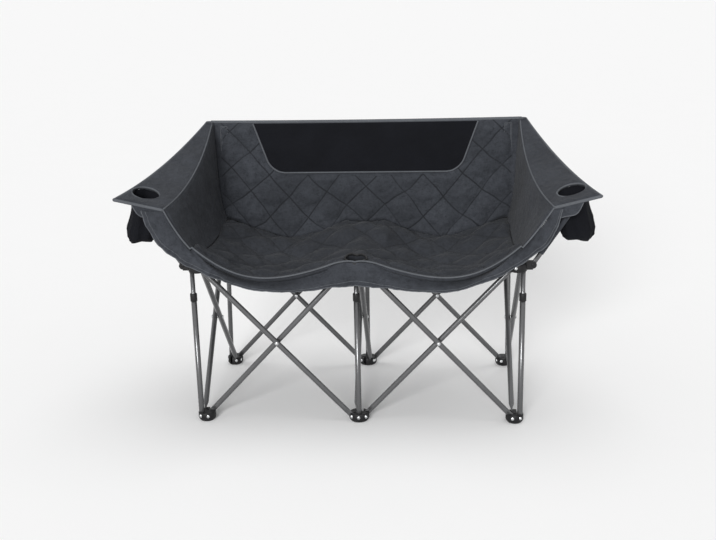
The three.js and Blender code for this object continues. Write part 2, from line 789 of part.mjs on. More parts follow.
// The mesh bag that hangs under the cup hole, cut off along the arm's underside.
function cupPocket(name, side) {
  const top = armEdgeHeight + 2 * armThickness;
  const bulge = pocketBottom + pocketBulgeShare * (top - pocketBottom);
  const floor = pocketBottom + pocketWall;
  const profile = [
    [0, pocketBottom],
    [pocketBottomRadius, pocketBottom],
    [pocketBulge, bulge],
    [pocketRadius, top],
    [pocketRadius - pocketWall, top],
    [pocketBulge - pocketWall, bulge],
    [pocketBottomRadius - pocketWall, floor],
    [0, floor],
  ].map(([r, z]) => new THREE.Vector2(r, z));
  const bag = new THREE.LatheGeometry(profile, pocketSides).rotateX(Math.PI / 2);
  const [x, y] = cupCentre;
  const above = armShell(side, 3 * pocketRadius, armThickness / 2 + sewGap);
  const solid = solidOf(bag.translate(side * x, y, 0)).subtract(above);
  return add(name, geometryOf(solid), finishes.mesh);
}

// The flap that hangs in front of the lip and climbs the arms: its inner edge and its outer edge.
function frontFlap(name) {
  const [base, knee, piping] = ['base', 'knee', 'piping'].map((key) => armPlace('front', key));
  const inner = (share) => {
    const turn = Math.abs(share) * 2;
    if (turn <= 1) {
      const x = turn * seatHalfWidth;
      return [x, lipHeight(x) - flapInset];
    }
    const [t, left] = [turn - 1, 2 - turn];
    return [0, 1].map((k) => base[k] * left * left + 2 * knee[k] * t * left + piping[k] * t * t);
  };
  const outerPoints = [
    ...flapShares.map(([share, drop]) => [share * seatHalfWidth, lipCentre - drop * flapDrop]),
    [piping[0] + flapTipIn, piping[1] - flapDrop],
    [piping[0] + flapTipOut, piping[1] + flapTipRise],
  ].map(([x, z]) => new THREE.Vector2(x, z));
  const outerCurve = new THREE.SplineCurve(outerPoints);
  const at = (u, v) => {
    const share = 2 * u - 1;
    const [x0, z0] = inner(share);
    const edge = outerCurve.getPoint(Math.abs(share));
    const side = Math.sign(share) || 1;
    const x = side * (x0 + (edge.x - x0) * (1 - v));
    const z = z0 + (edge.y - z0) * (1 - v);
    const wave = (flapWave * (1 - v) * (1 - Math.cos(share * flapWaves * 2 * Math.PI))) / 2;
    return new THREE.Vector3(x, fabricFront - flapStandoff - wave, z);
  };
  const geometry = shell(flapColumns, 2, at, () => flapThickness, () => 0);
  return add(name, geometry, finishes.fabric);
}

const rowNames = { [-rowHalf]: 'front', [rowHalf]: 'rear' };
const columnsX = { left: -columnSpacing, centre: 0, right: columnSpacing };

for (const y of rows) {
  for (const [place, x] of Object.entries(columnsX)) {
    foot(`${rowNames[y]}_${place}_foot`, x, y);
    hub(`${rowNames[y]}_${place}_hub`, x, y);
    if (y > 0) {
      backPost(`${place}_back_post`, x, y);
    } else {
      outerPost(`front_${place}_outer_post`, x, y);
      collar(`front_${place}_post_collar`, x, y);
      innerPost(`front_${place}_inner_post`, x, y);
    }
  }
}

for (const y of rows) {
  for (const [place, side] of [['left', -1], ['right', 1]]) {
    const name = `${rowNames[y]}_${place}`;
    const near = side < 0 ? -cornerPivot : centrePivotOffset;
    crossTube(`${name}_cross_tube_rising`, 'x', near, y + layer, true);
    crossTube(`${name}_cross_tube_falling`, 'x', near + crossSpan, y - layer, false);
    crossPin(`${name}_cross_pin`, 'x', near + crossSpan / 2, y);
  }
}

for (const [place, plane] of [['left', -sidePlane], ['centre', 0], ['right', sidePlane]]) {
  crossTube(`${place}_side_cross_tube_rising`, 'y', -sidePivot, plane - layer, true);
  crossTube(`${place}_side_cross_tube_falling`, 'y', sidePivot, plane + layer, false);
  crossPin(`${place}_side_cross_pin`, 'y', 0, plane);
}

armSupport('left_arm_support', -1);
armSupport('right_arm_support', 1);

const seatDepth = backFaceY(hubTop) - fabricFront;
seatHalf('seat_front_pad', 0, 1 / 2, 0);
seatHalf('seat_rear_pad', 1 / 2 + seamGap / seatDepth, 1, seatRows);
backrest('backrest_pad');
meshWindow('backrest_mesh_window');
arm('left_arm_pad', -1);
arm('right_arm_pad', 1);
cupPocket('left_cup_pocket', -1);
cupPocket('right_cup_pocket', 1);
frontFlap('front_flap');

const middle = new THREE.Box3().setFromObject(model).getCenter(new THREE.Vector3());
model.position.y = -middle.y;

export default model;
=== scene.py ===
import json
import math

import bmesh
import bpy
from bpy.props import FloatProperty, FloatVectorProperty, IntProperty, PointerProperty
from mathutils import Matrix, Vector, noise

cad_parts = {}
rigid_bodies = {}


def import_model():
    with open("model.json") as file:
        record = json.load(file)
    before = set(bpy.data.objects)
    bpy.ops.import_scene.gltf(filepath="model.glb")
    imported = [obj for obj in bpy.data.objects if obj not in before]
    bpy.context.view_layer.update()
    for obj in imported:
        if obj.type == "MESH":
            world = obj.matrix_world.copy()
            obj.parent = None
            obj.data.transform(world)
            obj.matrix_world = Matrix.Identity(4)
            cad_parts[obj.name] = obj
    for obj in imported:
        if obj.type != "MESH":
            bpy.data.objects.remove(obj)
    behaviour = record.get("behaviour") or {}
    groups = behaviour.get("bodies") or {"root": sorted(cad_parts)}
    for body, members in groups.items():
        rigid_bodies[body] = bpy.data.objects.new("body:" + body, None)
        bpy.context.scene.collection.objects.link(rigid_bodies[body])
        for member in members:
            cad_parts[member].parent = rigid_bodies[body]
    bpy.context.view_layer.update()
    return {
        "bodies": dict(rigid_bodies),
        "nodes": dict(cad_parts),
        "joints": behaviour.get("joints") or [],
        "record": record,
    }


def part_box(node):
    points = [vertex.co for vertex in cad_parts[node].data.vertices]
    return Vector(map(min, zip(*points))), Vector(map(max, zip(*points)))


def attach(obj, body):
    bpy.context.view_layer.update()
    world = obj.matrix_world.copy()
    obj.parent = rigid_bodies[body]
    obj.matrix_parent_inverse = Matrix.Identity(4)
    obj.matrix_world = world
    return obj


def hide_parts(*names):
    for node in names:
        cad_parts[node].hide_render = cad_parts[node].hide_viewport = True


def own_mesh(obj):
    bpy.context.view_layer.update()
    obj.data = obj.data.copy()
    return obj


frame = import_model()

bl_info = {
    "name": "Folding Camp Loveseat",
    "version": (1, 0, 0),
    "blender": (4, 5, 0),
    "location": "View3D > Sidebar > Loveseat",
    "description": "Builds the fine surface of a folding two-seat camp chair on its frame",
    "category": "Add Mesh",
}

# Chair sizes, in metres, that follow the frame's own nodes
FRONT_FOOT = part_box("front_centre_foot")
REAR_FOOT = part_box("rear_centre_foot")
MIDDLE_Y = (FRONT_FOOT[0][1] + REAR_FOOT[1][1]) / 2
COLUMN = 0.490
ROW = 0.245
CROSS_SPAN = 0.460
FOOT_PIVOT = 0.018
HUB_PIVOT = 0.507
CENTRE_PIVOT = 0.022
CORNER_PIVOT = CENTRE_PIVOT + CROSS_SPAN
SIDE_PLANE = 0.492
SIDE_PIVOT = CROSS_SPAN / 2
LAYER = 0.009
RISE = HUB_PIVOT - FOOT_PIVOT
CROSS_LENGTH = math.hypot(CROSS_SPAN, RISE)
CROSS_ANGLE = math.atan2(RISE, CROSS_SPAN)
CROSS_RADIUS = 0.0085
CORNER_POST = CORNER_PIVOT + 0.024
POST_ROW = ROW + 0.008
POST_FOOT = 0.006
OUTER_POST_RADIUS = 0.00875
INNER_POST_RADIUS = 0.007
BACK_POST_RADIUS = 0.00825
BACK_POST_TOP = 0.862
SLEEVE_ROW = ROW + 0.060
BACK_SLOPE = (SLEEVE_ROW - POST_ROW) / RISE
COLLAR_LOW = 0.400
COLLAR_HIGH = 0.425
CORNER_HALF_WIDTH = 0.028
CENTRE_HALF_WIDTH = 0.032
BLOCK_HALF_DEPTH = 0.029
FOOT_HEIGHT = 0.028
HUB_TOP = 0.520
HUB_HEIGHT = 0.027
SLOT_HALF = 0.00375
SLOT_REACH = 0.0113
TAB_HALF_THICKNESS = 0.003
TAB_HALF_WIDTH = 0.008
TAB_OVERRUN = 0.0065
TAB_LENGTH = 0.020
TAB_TRANSITION = 0.020
RIVET_HEAD_RADIUS = 0.0052
RIVET_HEAD_HEIGHT = 0.0018
ARM_PIVOT = (0.534, 0.513)
ARM_TIP = (0.647, 0.684)
ARM_TUBE_RADIUS = 0.007

# Cloth sizes
PAD = 0.014
SEW_GAP = 0.0006
FRONT_Y = -0.274
SEAT_HALF_WIDTH = 0.495
SEAT_EDGE = 0.0025
LIP = (0.522, 0.049, 0.055, 1.4)
LIP_SHOULDER = 0.0135
LIP_SHOULDER_PLACE = 0.046
LIP_SHOULDER_INNER = 0.052
LIP_SHOULDER_OUTER = 0.056
SEAT_MIDDLE = (0.500, 0.055, 0.022, 1.1)
FOLD_HALF_WIDTH = 0.455
FOLD_DIP = 0.060
FOLD_RISE = 0.012
HUB_CLEARANCE = 0.0016
TENT_REACH = 0.036
TENT_SLOPE = 0.45
FOLD_GAP = 0.004
BACK_HALF_WIDTH = 0.545
BACK_TOP = 0.877
BACK_TOP_SAG = 0.003
WINDOW_TOP = 0.871
WINDOW_HEIGHT = 0.173
WINDOW_TOP_HALF = 0.394
WINDOW_BOTTOM_HALF = 0.330
WINDOW_CORNER = 0.045
ARM_SECTIONS = {
    "base": ((0.4995, 0.568), (0.4995, 0.510), (0.4995, 0.540)),
    "knee": ((0.537, 0.612), (0.533, 0.552), (0.527, 0.560)),
    "piping": ((0.588, 0.692), (0.545, 0.748), (0.538, 0.872)),
    "edge": ((0.724, 0.726), (0.645, 0.774), (0.557, 0.876)),
}
LEFT_CREST_SHIFT = 0.014
ARM_THICKNESS = 0.012
CUP_CENTRE = (0.650, -0.185)
CUP_HOLE_RADIUS = 0.043
POCKET_BOTTOM = 0.575
FLAP_HEM = {
    -1: ((0.0, 0.459), (0.094, 0.451), (0.208, 0.438), (0.340, 0.452),
         (0.445, 0.491), (0.530, 0.534), (0.606, 0.604), (0.640, 0.694)),
    1: ((0.0, 0.459), (0.094, 0.451), (0.208, 0.438), (0.307, 0.443),
        (0.426, 0.484), (0.519, 0.542), (0.582, 0.602), (0.612, 0.690)),
}
DIAMOND = 0.138
SLEEVE_STRETCH = 0.0032
SEAT_ROWS = 16
BACK_ROWS = 11
SEAT_DEPTH = 0.558
BACK_HEIGHT = 0.40
LIP_BAND = 0.030
WALL_REACH = SEAT_HALF_WIDTH + 0.016
SEWN_CELLS = 6
SWELL_FRAMES = 16
QUILT_CAP = 0.0055
ARM_CAP = 0.0060
ARM_CLOTH = (0.36, 0.55)
ARM_RIM = 0.012
CORD_STEPS = 60
EDGE_BINDING_RADIUS = 0.0048
PATCH_BOX = (0.484, 0.512, 0.776, 0.864)
POCKET_PROFILE = (
    (0.0, 0.004), (0.020, 0.001), (0.033, 0.003), (0.043, 0.014), (0.0495, 0.038),
    (0.0505, 0.060), (0.049, 0.085), (0.0465, 0.110), (0.0455, 0.135))
POCKET_DEPTH = 0.135
FLAP_THICKNESS = 0.0019

# Stage
FLOOR_HALF = 300.0
SUNS = (("key_sun", (-0.6, -3.2, 1.6), 24.0, 3.0), ("top_sun", (0.3, 0.6, 3.6), 50.0, 0.80))
SUN_TARGET = Vector((0, 0, 0.45))
WORLD_STRENGTH = 0.45
CAMERA_PLACE = (0.2192, -3.1423, 1.3336)
CAMERA_TURN = (4.2, 16.078, -1.308)
FOCAL_PIXELS = 990.8
IMAGE_WIDTH = 716
SENSOR_WIDTH = 36.0

SIDES = (("left", -1), ("right", 1))
PLACES = (("left", -1), ("centre", 0), ("right", 1))
ROWS = (("front", -1), ("rear", 1))


def length_property(name, description, default, low, high):
    return FloatProperty(name=name, description=description, default=default, min=low, max=high, unit="LENGTH")


def colour_property(name, description, default):
    return FloatVectorProperty(name=name, description=description, default=default, subtype="COLOR")


class ChairSizes(bpy.types.PropertyGroup):
    """Sizes of the cloth work that can be changed before the pieces are built."""

    quilt_height: length_property(
        "Quilt height", "How far each quilted diamond swells above its sewn lines", 0.0085, 0.0, 0.015)
    wrinkle_height: length_property(
        "Wrinkle height", "Height of the soft wrinkles in the cloth", 0.0024, 0.0, 0.005)
    piping_radius: length_property(
        "Piping radius", "Radius of the corded edge along the seat and arms", 0.0026, 0.001, 0.006)
    flap_wave: length_property(
        "Flap wave", "Depth of the hanging flap's folds", 0.007, 0.0, 0.012)
    weave_pitch: length_property(
        "Weave pitch", "Distance between neighbouring threads of the cloth", 0.0011, 0.0004, 0.004)
    tube_sides: IntProperty(
        name="Tube sides", description="How many faces go round each steel tube", default=28, min=12, max=64)


class ChairColours(bpy.types.PropertyGroup):
    """Base colours of the chair's finishes, as linear values."""

    cloth: colour_property("Cloth", "Slate grey of the padded cloth", (0.0275, 0.0300, 0.0355))
    piping: colour_property("Piping", "Lighter grey of the corded edges", (0.085, 0.091, 0.101))
    mesh: colour_property("Mesh", "Black of the window and the pockets", (0.0048, 0.0052, 0.0070))
    tube: colour_property("Tube", "Grey of the coated steel tubes", (0.105, 0.106, 0.109))
    plastic: colour_property("Plastic", "Black of the moulded feet and hubs", (0.0065, 0.0065, 0.0070))
    rivet: colour_property("Rivet", "Bright steel of the rivet heads", (0.62, 0.63, 0.64))
    floor: colour_property("Floor", "Pale floor under the chair", (0.92, 0.92, 0.92))


def sizes():
    return bpy.context.scene.chair_sizes


def colours():
    return bpy.context.scene.chair_colours


# Shader building

class Nodes:
    """Adds and links shader nodes in one tree."""

    def __init__(self, tree):
        self.tree = tree

    def add(self, kind, **values):
        node = self.tree.nodes.new(kind)
        for key, value in values.items():
            setattr(node, key, value)
        return node

    def put(self, value, socket):
        if isinstance(value, bpy.types.NodeSocket):
            self.tree.links.new(value, socket)
        else:
            socket.default_value = value

    def feed(self, node, **values):
        """Links or sets inputs by name; an underscore stands for a space."""
        for key, value in values.items():
            self.put(value, node.inputs[key.replace("_", " ")])

    def math(self, operation, *values):
        node = self.add("ShaderNodeMath", operation=operation)
        for socket, value in zip(node.inputs, values):
            self.put(value, socket)
        return node.outputs[0]

    def times(self, first, second):
        return self.math("MULTIPLY", first, second)

    def plus(self, first, second):
        return self.math("ADD", first, second)

    def less(self, first, second):
        return self.math("SUBTRACT", first, second)

    def ramp(self, factor, low, high):
        node = self.add("ShaderNodeMapRange", interpolation_type="SMOOTHSTEP")
        self.feed(node, Value=factor, From_Min=low, From_Max=high)
        return node.outputs["Result"]

    def blend(self, factor, first, second):
        node = self.add("ShaderNodeMix", data_type="RGBA")
        for index, value in ((0, factor), (6, first), (7, second)):
            self.put(value, node.inputs[index])
        return node.outputs[2]

    def noise(self, vector, scale, detail=3.0, roughness=0.5, kind="FBM"):
        node = self.add("ShaderNodeTexNoise", noise_type=kind)
        self.feed(node, Vector=vector, Scale=scale, Detail=detail, Roughness=roughness)
        return node.outputs["Fac"]

    def stretch(self, vector, scale):
        node = self.add("ShaderNodeMapping")
        self.feed(node, Vector=vector, Scale=scale)
        return node.outputs["Vector"]

    def place(self):
        return self.add("ShaderNodeTexCoord").outputs["Object"]

    def uv(self, name):
        return self.add("ShaderNodeUVMap", uv_map=name).outputs["UV"]

    def split(self, vector):
        node = self.add("ShaderNodeSeparateXYZ")
        self.feed(node, Vector=vector)
        return node.outputs["X"], node.outputs["Y"]

    def use(self, tree, **values):
        node = self.add("ShaderNodeGroup", node_tree=tree)
        self.feed(node, **values)
        return node.outputs

    def bump(self, shader, height, distance, strength=1.0, before=None):
        node = self.add("ShaderNodeBump")
        self.feed(node, Distance=distance, Strength=strength, Height=height)
        if before is not None:
            self.feed(node, Normal=before)
        self.feed(shader, Normal=node.outputs["Normal"])
        return node.outputs["Normal"]


def new_group(name, given, made, build):
    """The node group of this name; build fills it once from its inputs to its outputs."""
    tree = bpy.data.node_groups.get(name)
    if tree is None:
        tree = bpy.data.node_groups.new(name, "ShaderNodeTree")
        tree.interface.new_socket("Vector", in_out="INPUT", socket_type="NodeSocketVector")
        label, default = given
        tree.interface.new_socket(label, in_out="INPUT", socket_type="NodeSocketFloat").default_value = default
        for label in made:
            tree.interface.new_socket(label, in_out="OUTPUT", socket_type="NodeSocketFloat")
        n = Nodes(tree)
        results = build(n, *list(n.add("NodeGroupInput").outputs)[:2])
        n.feed(n.add("NodeGroupOutput"), **dict(zip(made, results)))
    return tree


def weave_group():
    """Plain weave: threads over and under each other, with slubs and flecks along them."""
    def build(n, vector, pitch):
        across, along = (n.math("DIVIDE", axis, pitch) for axis in n.split(vector))
        warp, weft = (n.math("ABSOLUTE", n.math("SINE", n.times(way, math.pi))) for way in (across, along))
        turn = n.math("MODULO", n.plus(n.math("FLOOR", across), n.math("FLOOR", along)), 2.0)
        turn = n.math("ABSOLUTE", turn)
        slubs = [n.noise(n.stretch(vector, scale), 1.0, 2.0) for scale in ((900.0, 45.0, 1.0), (45.0, 900.0, 1.0))]
        height = n.plus(n.times(warp, turn), n.times(weft, n.less(1.0, turn)))
        return height, n.times(n.plus(*slubs), 0.5)
    return new_group("plain_weave", ("Pitch", 0.0011), ("Height", "Fleck"), build)


def stitch_and_groove_shade_group():
    """Painted shade along the sewn grooves of a quilted panel, and the thread stitches in them, counted in
    diamonds.
    """
    def build(n, vector, stitches):
        x, y = n.split(vector)
        rising, falling = n.plus(x, y), n.less(x, y)
        lines, threads = [], []
        for this, other in ((rising, falling), (falling, rising)):
            away = n.math("PINGPONG", this, 0.5)
            # painted shade: the wide dark band beside each sewn line stands in for the shade in its groove
            lines.append(n.less(1.0, n.ramp(away, 0.004, 0.034)))
            dash = n.ramp(n.math("PINGPONG", n.times(other, stitches), 1.0), 0.25, 0.4)
            threads.append(n.times(n.less(1.0, n.ramp(away, 0.004, 0.008)), dash))
        return n.math("MAXIMUM", *lines), n.math("MAXIMUM", *threads)
    return new_group("diamond_stitch_and_groove_shade", ("Stitches", 26.0), ("Line", "Thread"), build)


def wear_group():
    """Uneven dust and fading over a surface, as a mask."""
    def build(n, vector, scale):
        broad = n.ramp(n.noise(vector, n.times(scale, 1.0), 4.0), 0.3, 0.7)
        return broad, n.ramp(n.noise(vector, n.times(scale, 14.0), 3.0), 0.35, 0.7)
    return new_group("uneven_wear", ("Scale", 8.0), ("Broad", "Fine"), build)


def start_material(name):
    """A new material with its node helper and its shader, or the finished one with neither."""
    material = bpy.data.materials.get(name)
    if material:
        return material, None, None
    material = bpy.data.materials.new(name)
    material.use_nodes = True
    return material, Nodes(material.node_tree), material.node_tree.nodes["Principled BSDF"]


def tint(colour, factor):
    return tuple(min(1.0, channel * factor) for channel in colour) + (1.0,)


def cloth_material(name, colour, quilted=0.0):
    """Woven cloth; quilted is how dark the painted shade along its sewn grooves is."""
    material, n, shader = start_material(name)
    if n is None:
        return material
    cloth, place = n.uv("cloth"), n.place()
    weave = n.use(weave_group(), Vector=cloth, Pitch=sizes().weave_pitch)
    wear = n.use(wear_group(), Vector=place, Scale=7.0)
    heather = n.ramp(n.noise(n.stretch(cloth, (120.0, 190.0, 1.0)), 1.0, 4.0, 0.72), 0.36, 0.66)
    patch = n.ramp(n.noise(place, 48.0, 5.0, 0.72), 0.40, 0.62)
    mixed = n.blend(n.ramp(weave["Fleck"], 0.38, 0.64), tint(colour, 0.62), tint(colour, 1.42))
    layers = [(heather, 0.7, 1.75), (patch, 0.5, 1.9), (wear["Broad"], 0.5, 0.55), (wear["Fine"], 0.35, 1.5)]
    crease = n.bump(shader, n.noise(place, 15.0, 4.0, kind="RIDGED_MULTIFRACTAL"), 0.0032)
    if quilted:
        # painted shade along the sewn grooves, made uneven by noise, darkens the cloth there; the thread dashes are
        # real stitches
        stitch = n.use(stitch_and_groove_shade_group(), Vector=n.uv("quilt"))
        patchy_groove_shade = n.ramp(n.noise(place, 13.0, 2.0), 0.25, 0.60)
        line = n.times(stitch["Line"], n.plus(n.times(patchy_groove_shade, 0.55), 0.45))
        layers += [(line, quilted, 0.28), (stitch["Thread"], 0.6, 0.75)]
        crease = n.bump(shader, stitch["Thread"], 0.0006, 1.0, crease)
    for mask, strength, shade in layers:
        mixed = n.blend(n.times(mask, strength), mixed, tint(colour, shade))
    n.bump(shader, weave["Height"], 0.00022, 0.7, crease)
    n.feed(shader, Base_Color=mixed, Roughness=n.plus(n.times(wear["Fine"], 0.08), 0.84),
           Sheen_Weight=0.04, Sheen_Roughness=0.45, Specular_IOR_Level=0.14)
    return material


def mesh_material():
    material, n, shader = start_material("black_knit_mesh")
    if n is None:
        return material
    wear = n.use(wear_group(), Vector=n.place(), Scale=9.0)
    cells = n.add("ShaderNodeTexVoronoi", feature="DISTANCE_TO_EDGE")
    n.feed(cells, Vector=n.uv("cloth"), Scale=420.0, Randomness=0.15)
    yarn = n.less(1.0, n.ramp(cells.outputs["Distance"], 0.12, 0.26))
    colour = colours().mesh
    base = n.blend(yarn, tint(colour, 0.35), tint(colour, 1.5))
    base = n.blend(n.times(wear["Broad"], 0.4), base, tint(colour, 1.9))
    n.bump(shader, yarn, 0.0004)
    n.feed(shader, Base_Color=base, Roughness=n.plus(n.times(yarn, -0.12), 0.9), Specular_IOR_Level=0.1)
    return material


def hard_material(name, colour, scales, edges, shades, worn, rough, relief, **values):
    """A finish whose colour, roughness and relief follow its grain and its wear.

    scales: of wear and grain, without grain its wear is the relief; edges: the grain's ramp, without it
    broad wear mixes the shades; worn: mask, strength and shade; rough: gain of fine wear and base.
    """
    material, n, shader = start_material(name)
    if n is None:
        return material
    place = n.place()
    wear = n.use(wear_group(), Vector=place, Scale=scales[0])
    grain = n.noise(place, scales[1], 2.0) if scales[1] else wear["Fine"]
    mask = n.ramp(grain, *edges) if edges else wear["Broad"]
    base = n.blend(mask, tint(colour, shades[0]), tint(colour, shades[1]))
    if worn:
        base = n.blend(n.times(wear[worn[0]], worn[1]), base, tint(colour, worn[2]))
    n.bump(shader, grain, relief)
    n.feed(shader, Base_Color=base, Roughness=n.plus(n.times(wear["Fine"], rough[0]), rough[1]), **values)
    return material


def finish(kind):
    """The material of a kind of piece, made the first time it is asked for."""
    cloth = colours().cloth
    if kind == "mesh":
        return mesh_material()
    # quilted sets how dark the painted groove shade is on each cushion
    if kind == "backrest":
        return cloth_material("quilted_slate_cloth", cloth, quilted=0.80)
    # painted shade: the seat uses the same cloth darkened to 0.8, for the shade in its hollow
    if kind == "seat":
        return cloth_material("seat_slate_cloth_painted_shade", tint(cloth, 0.80)[:3], quilted=0.55)
    if kind == "fabric":
        return cloth_material("plain_slate_cloth", cloth)
    if kind == "piping":
        return hard_material("corded_piping", colours().piping, (16.0, 900.0), (0.35, 0.65), (0.7, 1.25),
                             ("Broad", 0.5, 0.75), (0.1, 0.8), 0.0003, Specular_IOR_Level=0.25)
    if kind == "tube":
        return hard_material("grey_coated_steel", colours().tube, (12.0, 520.0), (0.3, 0.7), (0.86, 1.14),
                             ("Broad", 0.35, 1.3), (0.08, 0.19), 0.00008, Metallic=0.60, Specular_IOR_Level=0.45)
    if kind == "plastic":
        return hard_material("black_moulded_plastic", colours().plastic, (30.0, 1400.0), None, (0.9, 1.5),
                             ("Fine", 0.3, 2.2), (0.16, 0.44), 0.0001, Specular_IOR_Level=0.24)
    return hard_material("bright_rivet_steel", colours().rivet, (60.0, None), None, (0.75, 1.0),
                         None, (0.25, 0.22), 0.00005, Metallic=1.0)


# Mesh building

def add_object(name, data):
    made = bpy.data.objects.new(name, data)
    bpy.context.scene.collection.objects.link(made)
    return made


def holder_of(bm, name="holder"):
    """An object in the scene with a bmesh's shape; the bmesh stays."""
    mesh = bpy.data.meshes.new(name)
    bm.to_mesh(mesh)
    return add_object(name, mesh)


def remove_holder(holder):
    data = holder.data
    bpy.data.objects.remove(holder)
    bpy.data.meshes.remove(data)


def new_piece(name, bm, body, slot, nodes=(), look=None):
    """Turns a closed bmesh into a finished piece of the chair that rides with a body and replaces nodes."""
    if bm.calc_volume(signed=True) < 0:
        bmesh.ops.reverse_faces(bm, faces=bm.faces)
    piece = holder_of(bm, name)
    bm.free()
    piece.data.materials.append(finish(look or slot))
    piece.data.shade_smooth()
    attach(piece, body)
    if nodes:
        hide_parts(*nodes)
    return piece


def cloth_piece(name, bm, body, nodes=(), slot="fabric", look=None):
    """A cloth piece that rides with its body and has its own copy of its mesh."""
    piece = new_piece(name, bm, body, slot, nodes, look)
    if body.endswith("_arm"):
        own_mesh(piece)
    else:
        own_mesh(piece)
    return piece


def steel(node, bm, body):
    new_piece(node + "_steel", place_y(bm), body, "tube", [node])


def rivets(name, shapes, body, nodes=()):
    new_piece(name, place_y(merge(*shapes)), body, "rivet", nodes)


def moulding(node, bm, body):
    return new_piece(node + "_moulding", place_y(bm), body, "plastic", [node])


def soften_edges(piece):
    bevel = piece.modifiers.new("soft_edges", "BEVEL")
    bevel.width = 0.0007
    bevel.segments = 2
    bevel.limit_method = "ANGLE"
    bevel.angle_limit = math.radians(35.0)
    bevel.harden_normals = True


def transform(bm, matrix):
    bmesh.ops.transform(bm, matrix=matrix, verts=bm.verts)
    return bm


def shift(bm, x, y, z=0.0):
    return transform(bm, Matrix.Translation((x, y, z)))


def face_out(bm):
    bmesh.ops.recalc_face_normals(bm, faces=bm.faces)
    return bm


def evaluated(holder):
    """A bmesh of a holder as its modifiers leave it; the holder goes away."""
    bm = bmesh.new()
    bm.from_object(holder, bpy.context.evaluated_depsgraph_get())
    remove_holder(holder)
    return bm


def carve(bm, joined=(), cut=()):
    """Joins and cuts closed bmeshes with exact booleans."""
    holder = holder_of(bm)
    bm.free()
    tools = []
    for operation, shapes in (("UNION", joined), ("DIFFERENCE", cut)):
        for shape in shapes:
            tools.append(holder_of(shape, "tool"))
            shape.free()
            step = holder.modifiers.new(operation, "BOOLEAN")
            step.operation = operation
            step.solver = "EXACT"
            step.object = tools[-1]
    result = evaluated(holder)
    for tool in tools:
        remove_holder(tool)
    bmesh.ops.remove_doubles(result, verts=result.verts, dist=1e-6)
    return result


def cuboid(low, high):
    bm = bmesh.new()
    size = [b - a for a, b in zip(low, high)]
    middle = [(a + b) / 2 for a, b in zip(low, high)]
    bmesh.ops.create_cube(bm, size=1.0, matrix=Matrix.Translation(middle) @ Matrix.Diagonal((*size, 1.0)))
    return bm


def sweep(stations, sides):
    """A bar along +X through stations of (x, half size in Y, half size in Z), closed at both ends."""
    bm = bmesh.new()
    x, wide, tall = stations[0]
    bmesh.ops.create_circle(bm, segments=sides, radius=1.0, matrix=Matrix.Rotation(math.pi / 2, 4, "Y"))
    bmesh.ops.scale(bm, vec=(1.0, wide, tall), verts=bm.verts)
    bmesh.ops.translate(bm, vec=(x, 0.0, 0.0), verts=bm.verts)
    ring = bm.edges[:]
    for next_x, next_wide, next_tall in stations[1:]:
        made = bmesh.ops.extrude_edge_only(bm, edges=ring)["geom"]
        verts = [item for item in made if isinstance(item, bmesh.types.BMVert)]
        own = set(verts)
        ring = [item for item in made if isinstance(item, bmesh.types.BMEdge) and set(item.verts) <= own]
        bmesh.ops.scale(bm, vec=(1.0, next_wide / wide, next_tall / tall), verts=verts)
        bmesh.ops.translate(bm, vec=(next_x - x, 0.0, 0.0), verts=verts)
        x, wide, tall = next_x, next_wide, next_tall
    bmesh.ops.holes_fill(bm, edges=[edge for edge in bm.edges if edge.is_boundary], sides=0)
    return face_out(bm)


def rod(radius, start, end, sides=32, round_end=0.0):
    """A round bar from start to end, its rims rounded off by round_end."""
    way = Vector(end) - Vector(start)
    stations = [(0.0, radius, radius), (way.length, radius, radius)]
    if round_end:
        cut = radius - round_end
        stations = [(0.0, cut, cut), (round_end, radius, radius),
                    (way.length - round_end, radius, radius), (way.length, cut, cut)]
    turn = way.to_track_quat("X", "Z").to_matrix().to_4x4()
    return transform(sweep(stations, sides), Matrix.Translation(start) @ turn)


def turned(profile, steps, closed=False):
    """A shape turned about Z from points of (radius, height)."""
    bm = bmesh.new()
    verts = [bm.verts.new((radius, 0.0, height)) for radius, height in profile]
    edges = [bm.edges.new(pair) for pair in zip(verts, verts[1:])]
    if closed:
        edges.append(bm.edges.new((verts[-1], verts[0])))
    bmesh.ops.spin(bm, geom=verts + edges, axis=(0.0, 0.0, 1.0), cent=(0.0, 0.0, 0.0),
                   angle=2.0 * math.pi, steps=steps, use_merge=True, use_duplicate=False)
    bmesh.ops.remove_doubles(bm, verts=bm.verts, dist=1e-6)
    return face_out(bm)


def merge(*shapes):
    """One bmesh that holds several separate closed shapes."""
    whole = bmesh.new()
    for shape in shapes:
        mesh = bpy.data.meshes.new("part")
        shape.to_mesh(mesh)
        shape.free()
        whole.from_mesh(mesh)
        bpy.data.meshes.remove(mesh)
    return whole


def rivet_head(centre, way):
    """A low domed rivet head that stands on centre and faces along way."""
    r, h = RIVET_HEAD_RADIUS, RIVET_HEAD_HEIGHT
    bm = turned([(0.0, -h), (r, -h), (r, 0.25 * h), (0.86 * r, 0.7 * h), (0.5 * r, 0.95 * h), (0.0, h)], 24)
    return transform(bm, Matrix.Translation(centre) @ Vector(way).to_track_quat("Z", "Y").to_matrix().to_4x4())


def place_y(bm):
    """Moves a shape from the chair's own rows into the frame."""
    return shift(bm, 0.0, MIDDLE_Y)


def flat_map(u, v):
    return u, v


def scaled_map(width, height):
    return lambda u, v: (u * width, v * height)


def lay_uv(bm, name, span, plain=None):
    """Lays a UV map; plain tells by a face's middle where the map stays off the sewn lines."""
    layer = bm.loops.layers.uv.new(name)
    for face in bm.faces:
        middle = face.calc_center_median()
        bare = plain is not None and plain(middle.x, middle.y)
        for loop in face.loops:
            loop[layer].uv = (0.5, 0.0) if bare else span(loop.vert.co.x, loop.vert.co.y)


